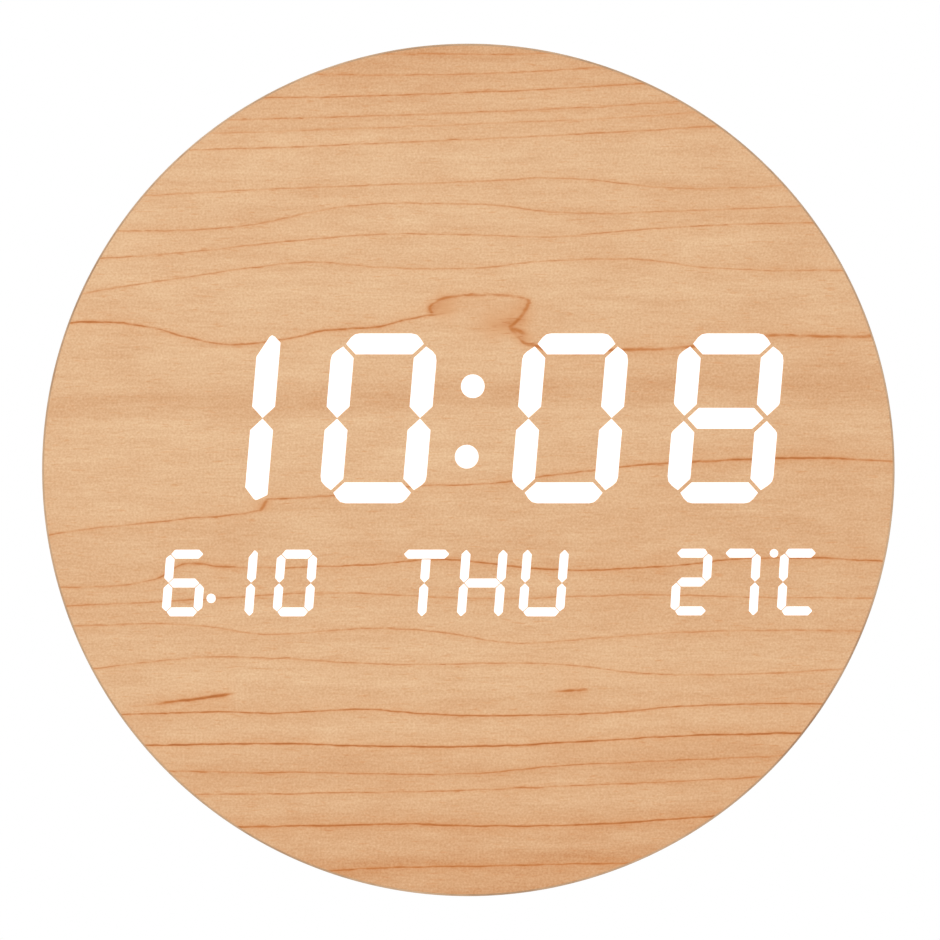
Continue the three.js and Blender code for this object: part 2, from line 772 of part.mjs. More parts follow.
const displayLeft = Math.min(...modules.map((module) => module.left)) - DISPLAY_BOARD_MARGIN;
const displayRight = Math.max(...modules.map((module) => module.right)) + DISPLAY_BOARD_MARGIN / 2;
const displayOutline = roundedBox(displayLeft, displayRight, displayBottom, displayTop, DISPLAY_BOARD_ROUND);
const ledBlocks = timeModules.flatMap((module) =>
  module.ledCentres.map(({ x, y: z }) => {
    const [x0, x1] = [x - LED_WIDTH / 2, x + LED_WIDTH / 2];
    return block(x0, x1, boardFrontY - LED_HEIGHT, boardBackY, z - LED_WIDTH / 2, z + LED_WIDTH / 2);
  }));
const displayBoard = cut(
  join(prism(displayOutline, boardFrontY, boardBackY).intersect(insideRim), ...ledBlocks),
  ...boardScrews.map((spot) => screwHole(spot, boardFrontY - PAST, boardBackY + PAST)),
);

// Screws, each with its outer head face at depth 0 and its shaft towards the front
const crossRecess = join(
  block(-RECESS_LENGTH / 2, RECESS_LENGTH / 2, -RECESS_DEPTH, PAST, -RECESS_WIDTH / 2, RECESS_WIDTH / 2),
  block(-RECESS_WIDTH / 2, RECESS_WIDTH / 2, -RECESS_DEPTH, PAST, -RECESS_LENGTH / 2, RECESS_LENGTH / 2),
);

function panScrew(length) {
  const end = -SCREW_HEAD_HEIGHT - length;
  return turned(
    [
      [0, end],
      [SCREW_RADIUS, end],
      [SCREW_RADIUS, -SCREW_HEAD_HEIGHT],
      [SCREW_HEAD_RADIUS, -SCREW_HEAD_HEIGHT],
      [SCREW_HEAD_RADIUS, 0],
      [0, 0],
    ],
    sidesOf(SCREW_RADIUS),
  );
}

// The countersunk form, or with a fit and a top past the face the hole for it
function sunkForm(length, fit, top) {
  const rim = -SCREW_HEAD_RIM;
  const neck = rim - SCREW_HEAD_RADIUS + SCREW_RADIUS;
  return turned(
    [
      [0, -length],
      [SCREW_RADIUS + fit, -length],
      [SCREW_RADIUS + fit, neck],
      [SCREW_HEAD_RADIUS + fit, rim],
      [SCREW_HEAD_RADIUS + fit, top],
      [0, top],
    ],
    sidesOf(SCREW_RADIUS),
  );
}

// Hanger
const hangerBottom = HANGER_Z - HANGER_HEIGHT / 2;
const hangerTop = HANGER_Z + HANGER_HEIGHT / 2;
const keyholeZ = HANGER_Z - KEYHOLE_DROP;
const slotZ = HANGER_Z + SLOT_RISE;
const hangerScrews = [-HANGER_SCREW_X, HANGER_SCREW_X].map((x) => at(x, HANGER_Z));
const pocketBottom = keyholeZ - KEYHOLE_RADIUS - POCKET_END_ROOM;
const pocketTop = slotZ + KEYHOLE_RADIUS + POCKET_END_ROOM;
const hangerOutline = (margin) => {
  const half = HANGER_WIDTH / 2 + margin;
  return roundedBox(-half, half, hangerBottom - margin, hangerTop + margin, HANGER_ROUND);
};
const hangerPlate = cut(
  prism(hangerOutline(0), hangerInnerY, hangerOuterY),
  rod(0, keyholeZ, KEYHOLE_RADIUS, hangerInnerY - PAST, hangerOuterY + PAST),
  block(-SLOT_HALF_WIDTH, SLOT_HALF_WIDTH, hangerInnerY - PAST, hangerOuterY + PAST, keyholeZ, slotZ),
  rod(0, slotZ, SLOT_HALF_WIDTH, hangerInnerY - PAST, hangerOuterY + PAST),
  ...hangerScrews.map((spot) => screwHole(spot, hangerInnerY - PAST, hangerOuterY + PAST)),
);

// Coin cell, its holder, and the hinged door over its well
const cellZ = controlZ;
const holderInner = CELL_RADIUS + FIT;
const holderRadius = holderInner + HOLDER_WALL;
const holderFloorY = boardBackY + HOLDER_FLOOR;
const wellX0 = CELL_X - holderRadius - WELL_ROOM_X;
const wellX1 = CELL_X + holderRadius + WELL_ROOM_X;
const wellZ0 = cellZ - holderRadius - WELL_ROOM_Z;
const wellZ1 = cellZ + holderRadius + WELL_ROOM_Z;
const wellFrontY = boardBackY + FIT;
const doorOuterY = -DOOR_BELOW_WALL;
const doorInnerY = doorOuterY - DOOR_THICKNESS;
const hingeY = doorOuterY - HINGE_RADIUS;
const hingeZ = wellZ1 - FIT - HINGE_RADIUS;
const doorX0 = wellX0 + FIT;
const doorX1 = wellX1 - FIT;
const pinReach = HINGE_PIN_LENGTH + FIT;

const coinCellHolder = cut(
  rod(CELL_X, cellZ, holderRadius, boardBackY, holderFloorY + HOLDER_WALL_HEIGHT),
  rod(CELL_X, cellZ, holderInner, holderFloorY, holderFloorY + HOLDER_WALL_HEIGHT + PAST),
  block(
    CELL_X - HOLDER_GAP / 2,
    CELL_X + HOLDER_GAP / 2,
    holderFloorY,
    holderFloorY + HOLDER_WALL_HEIGHT + PAST,
    cellZ - holderRadius - PAST,
    cellZ + holderRadius + PAST,
  ),
);
const coinCell = turned(
  [
    [0, 0],
    [CELL_RADIUS - CELL_STEP, 0],
    [CELL_RADIUS - CELL_STEP, CELL_STEP],
    [CELL_RADIUS, CELL_STEP],
    [CELL_RADIUS, CELL_THICKNESS],
    [0, CELL_THICKNESS],
  ],
  sidesOf(CELL_RADIUS),
);
const batteryDoor = join(
  block(doorX0, doorX1, doorInnerY, doorOuterY, wellZ0 + FIT, hingeZ),
  rodAlongX(hingeY, hingeZ, HINGE_RADIUS, doorX0, doorX1),
  rodAlongX(hingeY, hingeZ, HINGE_PIN_RADIUS, doorX0 - HINGE_PIN_LENGTH, doorX1 + HINGE_PIN_LENGTH),
);

// Buttons, each with a cap that presses a small switch on the control board
const buttonSpots = [-1, 0, 1].map((i) => at(BUTTON_X + i * BUTTON_PITCH, controlZ));
const dishHalfHeight = BUTTON_RADIUS + DISH_MARGIN;
const dishHalfWidth = BUTTON_PITCH + dishHalfHeight;
const dishOutline = (margin) =>
  roundedBox(
    BUTTON_X - dishHalfWidth - margin,
    BUTTON_X + dishHalfWidth + margin,
    controlZ - dishHalfHeight - margin,
    controlZ + dishHalfHeight + margin,
    dishHalfHeight + margin,
  );
const capTopY = -BUTTON_BELOW_WALL;
const flangeBackY = dishInnerY - FIT;
const flangeFrontY = flangeBackY - BUTTON_FLANGE_THICKNESS;
const flangeRadius = BUTTON_RADIUS + BUTTON_FLANGE;
const switchTopY = boardBackY + SWITCH_HEIGHT;
const plungerTopY = switchTopY + PLUNGER_RISE;
const plungerFootY = switchTopY - BUTTON_TRAVEL;
const buttonCap = turned(
  [
    [0, plungerTopY + PLUNGER_GAP],
    [BUTTON_STEM_RADIUS, plungerTopY + PLUNGER_GAP],
    [BUTTON_STEM_RADIUS, flangeFrontY],
    [flangeRadius, flangeFrontY],
    [flangeRadius, flangeBackY],
    [BUTTON_RADIUS, flangeBackY],
    [BUTTON_RADIUS, capTopY - BUTTON_EDGE],
    [BUTTON_RADIUS - BUTTON_EDGE, capTopY],
    [0, capTopY],
  ],
  sidesOf(BUTTON_RADIUS),
);
const switchBody = cut(
  block(-SWITCH_WIDTH / 2, SWITCH_WIDTH / 2, boardBackY, switchTopY, -SWITCH_WIDTH / 2, SWITCH_WIDTH / 2),
  rod(0, 0, PLUNGER_RADIUS + FIT / 2, plungerFootY - BUTTON_TRAVEL - FIT, switchTopY + PAST),
);
const switchPlunger = rod(0, 0, PLUNGER_RADIUS, plungerFootY, plungerTopY);

// Power inlet: a barrel jack on the control board's lower edge, its mouth in a channel for the plug
const jackBoreEnd = jackMouthZ + JACK_BORE_DEPTH;
const powerJack = cut(
  block(-JACK_WIDTH / 2, JACK_WIDTH / 2, boardBackY, boardBackY + JACK_HEIGHT, jackMouthZ, jackBackZ),
  rodAlongZ(0, jackAxisY, JACK_BORE_RADIUS, jackMouthZ - PAST, jackBoreEnd),
  rodAlongZ(0, jackAxisY, JACK_PIN_RADIUS + SCREW_FIT, jackBoreEnd - PAST, jackBoreEnd + JACK_PIN_ROOT),
);
const pinTipZ = jackBoreEnd - JACK_PIN_LENGTH;
const powerJackPin = rodAlongZ(0, jackAxisY, JACK_PIN_RADIUS, pinTipZ, jackBoreEnd + JACK_PIN_ROOT);

// Rear cover
const plugOuter = PLUG_HALF_WIDTH + WELL_WALL;
const jackRoom = JACK_WIDTH / 2 + FIT;
const sensorZ = controlBottom + SENSOR_INSET;
const coverDisc = turned(
  [
    [0, coverInnerY],
    [coverRadius, coverInnerY],
    [coverRadius, -COVER_CHAMFER],
    [coverRadius - COVER_CHAMFER, 0],
    [0, 0],
  ],
  CASE_SIDES,
);
const plugHousing = block(
  -plugOuter,
  plugOuter,
  plugFloorY - WELL_WALL,
  coverMiddleY,
  -bandRadius,
  jackMouthZ + WELL_WALL,
).intersect(insideRim);
const plugChannel = block(
  -PLUG_HALF_WIDTH,
  PLUG_HALF_WIDTH,
  plugFloorY,
  PAST,
  -bandRadius,
  jackMouthZ,
).intersect(insideRim);
const wellOutline = (margin) =>
  roundedBox(wellX0 - margin, wellX1 + margin, wellZ0 - margin, wellZ1 + margin, WELL_ROUND + margin);
const ledgeY = doorInnerY - FIT;
const ledgeRoot = WELL_WALL / 2;
const doorLedge = block(
  wellX0 - ledgeRoot,
  wellX1 + ledgeRoot,
  ledgeY - DOOR_LEDGE,
  ledgeY,
  wellZ0 - ledgeRoot,
  wellZ0 + DOOR_LEDGE,
);
const coverScrewHole = (spot) =>
  sunkForm(COVER_SCREW_LENGTH, SCREW_FIT, PAST).translate([spot.x, -SCREW_SINK, spot.y]);
const ventSlots = [-1, 0, 1].map((i) => {
  const x = SENSOR_X + i * VENT_PITCH;
  return block(
    x - VENT_WIDTH / 2,
    x + VENT_WIDTH / 2,
    coverInnerY - PAST,
    PAST,
    sensorZ - VENT_LENGTH / 2,
    sensorZ + VENT_LENGTH / 2,
  );
});
const grooveRadius = coverRadius - GROOVE_INSET;
const coverGroove = cut(
  rod(0, 0, grooveRadius, -GROOVE_DEPTH, PAST, CASE_SIDES),
  rod(0, 0, grooveRadius - GROOVE_WIDTH, -GROOVE_DEPTH - PAST, PAST + PAST, CASE_SIDES),
);
const paneOutline = roundedBox(
  -PANE_WIDTH / 2,
  PANE_WIDTH / 2,
  PANE_Z - PANE_HEIGHT / 2,
  PANE_Z + PANE_HEIGHT / 2,
  PANE_ROUND,
);
const coverSolid = join(
  coverDisc,
  prism(dishOutline(COVER_THICKNESS), dishInnerY, coverMiddleY),
  prism(wellOutline(WELL_WALL), wellFrontY, coverMiddleY),
  plugHousing,
  prism(hangerOutline(FIT + WELL_WALL), pocketFloorY - WELL_WALL, coverMiddleY),
  ...controlBosses.map((spot) => rod(spot.x, spot.y, BOSS_RADIUS, boardBackY, coverMiddleY)),
);
const coverOpened = cut(
  coverSolid,
  coverGroove,
  prism(paneOutline, -PANE_DEPTH, PAST),
  prism(dishOutline(0), dishFloorY, PAST),
  ...buttonSpots.map((spot) => rod(spot.x, spot.y, BUTTON_RADIUS + FIT, dishInnerY - PAST, PAST)),
  prism(wellOutline(0), wellFrontY - PAST, PAST),
  rod(CELL_X, wellZ0, FINGER_NOTCH_RADIUS, -FINGER_NOTCH_DEPTH, PAST),
  rodAlongX(hingeY, hingeZ, HINGE_PIN_RADIUS + HINGE_FIT, doorX0 - pinReach, doorX1 + pinReach),
  plugChannel,
  block(-jackRoom, jackRoom, boardFrontY, boardBackY + JACK_HEIGHT + FIT, jackMouthZ - PAST, jackBackZ + FIT),
  prism(hangerOutline(FIT), hangerInnerY, PAST),
  block(-POCKET_HALF_WIDTH, POCKET_HALF_WIDTH, pocketFloorY, PAST, pocketBottom, pocketTop),
  ...hangerScrews.map((spot) => screwHole(spot, hangerOuterY - HANGER_SCREW_LENGTH - SCREW_END_ROOM, PAST)),
  ...coverScrews.map(coverScrewHole),
  ...controlBosses.map((spot) => screwHole(spot, boardBackY - PAST, boardBackY + BOSS_BITE + SCREW_END_ROOM)),
  ...ventSlots,
);
const rearCover = join(coverOpened, doorLedge);

// Control board and the small parts on the two boards
const controlHalf = CONTROL_BOARD_WIDTH / 2;
const controlOutline = roundedBox(-controlHalf, controlHalf, controlBottom, controlTop, CONTROL_BOARD_ROUND);
const controlBoard = cut(
  prism(controlOutline, boardFrontY, boardBackY),
  ...controlBosses.map((spot) => screwHole(spot, boardFrontY - PAST, boardBackY + PAST)),
);
const standing = ([width, height, length]) =>
  block(-width / 2, width / 2, boardBackY, boardBackY + height, -length / 2, length / 2);
const displaySocketZ = displayBottom + SOCKET_INSET;
const controlSocketZ = controlTop - SOCKET_INSET;
const ribbonSpan = (displaySocketZ - controlSocketZ) / 2;
const ribbonOutline = [1, -1].flatMap((side) => {
  const half = (side * RIBBON_THICKNESS) / 2;
  const curve = new THREE.EllipseCurve(0, 0, ribbonSpan + half, RIBBON_RISE + half, 0, Math.PI);
  const points = curve.getPoints(RIBBON_STEPS);
  return side > 0 ? points : points.reverse();
});
const ribbonShape = new THREE.Shape(ribbonOutline);
const ribbonGeometry = new THREE.ExtrudeGeometry(ribbonShape, { depth: RIBBON_WIDTH, bevelEnabled: false });
ribbonGeometry.translate(0, 0, -RIBBON_WIDTH / 2);
ribbonGeometry.rotateY(-Math.PI / 2);

const clock = new THREE.Group();
clock.name = "digital_wall_clock";

function add(group, name, solid, look, x = 0, y = 0, z = 0) {
  const mesh = new THREE.Mesh(geometryOf(solid), look);
  mesh.name = name;
  mesh.position.set(x, y, z);
  group.add(mesh);
  return mesh;
}

const caseGroup = new THREE.Group();
clock.add(caseGroup);
add(caseGroup, "face_veneer", faceVeneer, maple);
add(caseGroup, "front_panel", frontPanel, fibreboard);
add(caseGroup, "case_rim", caseRim, fibreboard);
add(caseGroup, "edge_band", edgeBand, bandWood);
add(caseGroup, "rear_cover", rearCover, coverPlastic);
add(caseGroup, "hanger_plate", hangerPlate, zincSteel);
const hangerScrew = cut(panScrew(HANGER_SCREW_LENGTH), crossRecess);
const hangerHeadY = hangerOuterY + SCREW_HEAD_HEIGHT;
hangerScrews.forEach((spot, i) => {
  add(caseGroup, `hanger_screw_${i + 1}`, hangerScrew, zincSteel, spot.x, hangerHeadY, spot.y);
});
const coverScrew = cut(sunkForm(COVER_SCREW_LENGTH, 0, 0), crossRecess);
coverScrews.forEach((spot, i) => {
  add(caseGroup, `cover_screw_${i + 1}`, coverScrew, zincSteel, spot.x, -SCREW_SINK, spot.y);
});
add(caseGroup, "battery_door", batteryDoor, coverPlastic);

const displayGroup = new THREE.Group();
clock.add(displayGroup);
for (const module of modules) {
  add(displayGroup, `${module.name}_diffuser`, diffuserOf(module), litPlastic);
}
add(displayGroup, "time_reflector", timeReflector, reflectorPlastic);
add(displayGroup, "info_reflector", infoReflector, reflectorPlastic);
add(displayGroup, "display_board", displayBoard, boardGreen);
const boardScrew = panScrew(boardBackY - panelBackY + PANEL_SCREW_BITE);
const boardHeadY = boardBackY + SCREW_HEAD_HEIGHT;
boardScrews.forEach((spot, i) => {
  add(displayGroup, `board_screw_${i + 1}`, boardScrew, zincSteel, spot.x, boardHeadY, spot.y);
});
add(displayGroup, "led_driver_chip", standing(CHIP), chipBlack, DRIVER_X, 0, timeZ);
add(displayGroup, "display_socket", standing(SOCKET), socketWhite, SOCKET_X, 0, displaySocketZ);
const ribbonY = boardBackY + SOCKET[1];
const ribbonZ = (displaySocketZ + controlSocketZ) / 2;
add(displayGroup, "ribbon_cable", solidOf(ribbonGeometry), ribbonGrey, SOCKET_X, ribbonY, ribbonZ);

const controlGroup = new THREE.Group();
clock.add(controlGroup);
add(controlGroup, "control_board", controlBoard, boardGreen);
const controlScrew = panScrew(BOARD_THICKNESS + BOSS_BITE);
const controlHeadY = boardFrontY - SCREW_HEAD_HEIGHT;
controlBosses.forEach((spot, i) => {
  const name = `control_board_screw_${i + 1}`;
  const mesh = add(controlGroup, name, controlScrew, zincSteel, spot.x, controlHeadY, spot.y);
  mesh.rotation.x = Math.PI;
});
add(controlGroup, "control_socket", standing(SOCKET), socketWhite, SOCKET_X, 0, controlSocketZ);
add(controlGroup, "clock_chip", standing(CHIP), chipBlack, 0, 0, controlTop - CHIP_INSET);
const crystalHalf = CRYSTAL_LENGTH / 2;
const crystal = rodAlongZ(0, boardBackY + CRYSTAL_RADIUS, CRYSTAL_RADIUS, -crystalHalf, crystalHalf);
const crystalX = wellX1 + WELL_WALL + CRYSTAL_GAP + CRYSTAL_RADIUS;
add(controlGroup, "quartz_crystal", crystal, zincSteel, crystalX, 0, controlTop - CHIP_INSET);
const capacitor = rod(0, 0, CAPACITOR_RADIUS, boardBackY, boardBackY + CAPACITOR_HEIGHT);
add(controlGroup, "supply_capacitor", capacitor, chipBlack, CAPACITOR_X, 0, controlBottom + CAPACITOR_INSET);
const sensor = rod(0, 0, SENSOR_RADIUS, boardBackY, boardBackY + SENSOR_HEIGHT);
add(controlGroup, "temperature_sensor", sensor, chipBlack, SENSOR_X, 0, sensorZ);
add(controlGroup, "power_jack", powerJack, chipBlack);
add(controlGroup, "power_jack_pin", powerJackPin, brass);
add(controlGroup, "coin_cell_holder", coinCellHolder, chipBlack);
add(controlGroup, "coin_cell", coinCell, zincSteel, CELL_X, holderFloorY, cellZ);
["down", "set", "up"].forEach((use, i) => {
  const spot = buttonSpots[i];
  add(controlGroup, `${use}_switch`, switchBody, chipBlack, spot.x, 0, spot.y);
  add(controlGroup, `${use}_plunger`, switchPlunger, socketWhite, spot.x, 0, spot.y);
  add(controlGroup, `${use}_button`, buttonCap, buttonPlastic, spot.x, 0, spot.y);
});

export default clock;
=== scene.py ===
"""Round maple-veneered digital wall clock: looks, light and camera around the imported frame."""
import json
import math

import bmesh
import bpy
from mathutils import Matrix, Vector


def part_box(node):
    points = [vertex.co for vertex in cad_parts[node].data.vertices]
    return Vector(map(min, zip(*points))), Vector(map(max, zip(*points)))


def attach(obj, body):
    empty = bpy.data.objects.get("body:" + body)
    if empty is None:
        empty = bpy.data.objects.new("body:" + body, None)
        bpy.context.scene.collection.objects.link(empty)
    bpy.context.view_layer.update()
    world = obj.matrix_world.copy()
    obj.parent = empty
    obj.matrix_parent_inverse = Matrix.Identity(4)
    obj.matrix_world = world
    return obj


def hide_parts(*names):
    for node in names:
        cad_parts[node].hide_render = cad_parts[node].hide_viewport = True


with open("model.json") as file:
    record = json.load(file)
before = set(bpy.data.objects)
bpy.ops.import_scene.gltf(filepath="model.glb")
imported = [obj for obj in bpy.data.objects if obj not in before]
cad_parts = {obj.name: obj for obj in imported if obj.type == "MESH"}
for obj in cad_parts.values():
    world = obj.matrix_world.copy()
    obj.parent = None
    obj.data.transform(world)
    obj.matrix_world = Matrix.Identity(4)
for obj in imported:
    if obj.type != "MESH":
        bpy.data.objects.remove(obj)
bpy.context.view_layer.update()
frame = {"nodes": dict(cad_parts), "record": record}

MM = 0.001
NODES = frame["nodes"]

# Photograph's framing: the disc's centre in its 940 pixel frame, and the millimetres in one pixel
IMAGE_SIZE = 940
DISC_X = 468.34
DISC_Y = 469.90
PIXEL = 0.3518
LENS = 120.0
SENSOR = 36.0
CLIP_END = 20.0

# Light levels, at which a colour renders about as it is written, and the floor (metres)
WORLD_LIGHT = 0.60
WHITE = (1.0, 1.0, 1.0, 1.0)
FLOOR_Z = -0.32
FLOOR_RADIUS = 3.0
FLOOR_SIDES = 96
FLOOR_FADE = (0.45, 0.85)
FLOOR_ROUGHNESS = 0.9
# Soft square lights: name, place (metres), power (watts)
LIGHT_SIZE = 1.4
LIGHTS = (
    ("key_light", (-1.3, -1.9, 2.1), 36.0),
    ("fill_light", (1.6, -1.6, 0.6), 4.5),
    ("rear_light", (1.3, 1.9, 2.1), 36.0),
)

# Case sizes, as in the CAD model (mm)
DISC_RADIUS = 150.0
CASE_DEPTH = 28.0
CORD_NOTCH = (6.5, 8.0)
GROOVE_INNER = 132.0
COVER_SKIN = 0.9
# The band reaches further in than in the CAD model, over the gap behind it
BAND_INNER = 149.32
BAND_ROUND = 0.3
BAND_SIDES = 480
NOTCH_MARGIN = 10.0

# Mesh making: lengths in mm, angles in radians
ROUND_STEPS = 6
FACE_RINGS = 140.0
BACK_RINGS = 130.0
RING_FACET = 9.0
RING_CUTS = 6
COVER_CUTS = 5
SLIVER = 0.001
NEAR = 0.002
CLEAR = 0.5
FLAT_ANGLE = math.radians(0.4)
EASED_ANGLE = math.radians(25)
SHARP_ANGLE = math.radians(35)
NORMAL_WEIGHT = 80
# Widths of eased edges (mm)
EASE = {
    "cover": 0.18,
    "plate": 0.15,
    "door": 0.25,
    "grip": 0.25,
    "holder": 0.15,
    "mark": 0.1,
    "jack": 0.2,
    "chip": 0.3,
    "socket": 0.3,
    "switch": 0.25,
    "plunger": 0.15,
}

# Sockets of a Mix node that mixes colours
MIX_FIRST = 6
MIX_SECOND = 7
MIX_RESULT = 2
# The range that holds most values of a noise
NOISE_SPAN = (0.3, 0.7)


# Materials
def srgb(red, green, blue):
    """A colour given in 8-bit sRGB values, as linear RGBA."""

    def linear(value):
        share = value / 255
        return share / 12.92 if share <= 0.04045 else ((share + 0.055) / 1.055) ** 2.4

    return (linear(red), linear(green), linear(blue), 1.0)


class Look:
    """A node material around one Principled shader, with its textures in the object's own space."""

    def __init__(self, name, roughness, metallic=0.0):
        self.material = bpy.data.materials.new(name)
        self.material.use_nodes = True
        self.tree = self.material.node_tree
        self.shader = self.tree.nodes["Principled BSDF"]
        self.shader.inputs["Roughness"].default_value = roughness
        self.shader.inputs["Metallic"].default_value = metallic
        self.place = self.add("ShaderNodeTexCoord").outputs["Object"]

    def add(self, kind, **settings):
        node = self.tree.nodes.new(kind)
        for name, value in settings.items():
            setattr(node, name, value)
        return node

    def put(self, socket, value):
        """Links a socket to another, or sets it to a constant."""
        if isinstance(value, bpy.types.NodeSocket):
            self.tree.links.new(value, socket)
        else:
            socket.default_value = value

    def math(self, operation, *values):
        node = self.add("ShaderNodeMath", operation=operation)
        for socket, value in zip(node.inputs, values):
            self.put(socket, value)
        return node.outputs[0]

    def axes(self):
        """Right, depth and height, in millimetres."""
        node = self.add("ShaderNodeSeparateXYZ")
        self.put(node.inputs[0], self.place)
        return [self.math("DIVIDE", node.outputs[i], MM) for i in range(3)]

    def noise(self, size, detail=2.0, roughness=0.5, seed=0.0, place=None):
        """Noise whose features measure size (mm) along each axis."""
        mapping = self.add("ShaderNodeMapping")
        self.put(mapping.inputs["Vector"], place or self.place)
        mapping.inputs["Location"].default_value = (seed, seed, seed)
        mapping.inputs["Scale"].default_value = [1 / (length * MM) for length in size]
        node = self.add("ShaderNodeTexNoise")
        self.put(node.inputs["Vector"], mapping.outputs[0])
        node.inputs["Scale"].default_value = 1.0
        node.inputs["Detail"].default_value = detail
        node.inputs["Roughness"].default_value = roughness
        return node.outputs["Fac"]

    def ramp(self, value, low, high, to_low=0.0, to_high=1.0):
        """A smooth step from to_low to to_high while the value goes from low to high."""
        node = self.add("ShaderNodeMapRange", interpolation_type="SMOOTHSTEP")
        for socket, number in zip(node.inputs, (value, low, high, to_low, to_high)):
            self.put(socket, number)
        return node.outputs[0]

    def curve(self, value, points):
        """A smooth curve through points that lie between 0 and 1 both ways."""
        node = self.add("ShaderNodeFloatCurve")
        self.put(node.inputs["Value"], value)
        line = node.mapping.curves[0]
        for point, place in zip(line.points, (points[0], points[-1])):
            point.location = place
        for place in points[1:-1]:
            line.points.new(*place)
        node.mapping.update()
        return node.outputs[0]

    def mix(self, factor, first, second):
        node = self.add("ShaderNodeMix", data_type="RGBA")
        self.put(node.inputs[0], factor)
        self.put(node.inputs[MIX_FIRST], first)
        self.put(node.inputs[MIX_SECOND], second)
        return node.outputs[MIX_RESULT]

    def colour(self, value):
        self.put(self.shader.inputs["Base Color"], value)

    def rough(self, value):
        self.put(self.shader.inputs["Roughness"], value)

    def bump(self, height, strength, depth):
        """Small relief whose full height is depth (mm)."""
        node = self.add("ShaderNodeBump")
        node.inputs["Strength"].default_value = strength
        node.inputs["Distance"].default_value = depth * MM
        self.put(node.inputs["Height"], height)
        self.put(self.shader.inputs["Normal"], node.outputs[0])


# Grain lines that change along their length: points right of and above the centre of the face (mm)
UPPER_LINE = (
    (-140, 51.8), (-126, 52.0), (-112, 50.2), (-98, 46.5), (-84, 44.1), (-71, 45.3), (-59, 47.2),
    (-51, 49.1), (-33, 50.3), (-19, 53.4), (-13, 54.5), (-4, 55.4),
)
MIDDLE_LINE = (
    (-71, -10.3), (-57, -9.6), (-45, -8.9), (-20, -5.7), (4, -5.0), (15, -3.9), (27, -2.1), (54, 1.0),
    (88, 3.5), (121, 4.2), (149, 2.8),
)
DATE_LINE = (
    (-144, -41.4), (-124, -40.8), (-115, -39.6), (-108, -37.7), (-103, -34.4), (-99, -33.0), (-86, -34.0),
    (-43, -33.8), (-8, -31.7), (22, -34.5), (42, -35.2), (72, -33.8), (98, -31.3), (147, -32.0),
)
# Grain lines, read from the photograph and weighted one by one: strength, then points
GRAIN = (
    (0.44, (-40, 146.3), (40, 146.3)),
    (0.44, (-49, 139.1), (-3, 139.1), (47, 141.7)),
    (0.56, (-73, 130.8), (4, 132.9), (62, 136.1)),
    (0.42, (-85, 123.1), (4, 125.9), (74, 129.4)),
    (0.32, (-89, 118.5), (4, 121.7), (80, 125.6)),
    (0.48, (-97, 112.5), (4, 116.4), (87, 121.0)),
    (0.42, (-112, 96.7), (-67, 98.8), (4, 101.6), (34, 102.7), (72, 99.2), (111, 99.9)),
    (0.44, (-121, 84.0), (-78, 86.2), (-44, 92.5), (4, 93.5), (32, 90.7), (78, 91.1), (116, 92.8)),
    (0.46, (-129, 74.5), (-98, 76.7), (-63, 80.5), (-28, 83.0), (4, 82.6), (22, 81.9), (68, 85.1),
     (121, 86.9)),
    (0.42, (-135, 62.2), (-98, 67.9), (-73, 71.4), (-53, 73.1), (-33, 71.4), (4, 71.0), (27, 73.5),
     (63, 73.8), (83, 71.4), (131, 70.3)),
    (0.44, *DATE_LINE),
    (0.48, (-141, -47.9), (-86, -45.1), (-58, -43.3), (4, -45.1), (73, -44.0), (98, -44.7), (142, -45.1)),
    (0.44, (-138, -54.9), (-94, -54.9), (-73, -57.7), (-33, -55.6), (-13, -56.7), (17, -60.9),
     (42, -59.5), (76, -57.0), (138, -56.7)),
    (0.44, (-131, -70.0), (-94, -66.2), (-68, -66.2), (-33, -68.3), (32, -68.3), (68, -71.8),
     (133, -69.7)),
    (0.72, (-121, -86.2), (-88, -85.2), (-68, -85.5), (-38, -84.1), (-13, -85.9), (46, -85.5),
     (78, -83.1), (125, -82.4)),
    (0.98, (-113, -96.8), (-73, -96.4), (-33, -97.1), (4, -97.1), (42, -95.4), (78, -93.6),
     (117, -92.6)),
    (0.53, (-105, -105.9), (-53, -106.6), (4, -106.6), (32, -104.2), (68, -102.4), (110, -100.6)),
    (0.53, (-96, -114.0), (-53, -113.7), (4, -112.6), (58, -110.1), (103, -108.0)),
    (0.96, (-81, -125.6), (-53, -125.3), (-23, -124.6), (4, -125.3), (42, -124.6), (86, -121.8)),
    (0.78, (-49, -141.1), (-25, -139.7), (4, -139.3), (58, -138.3)),
)
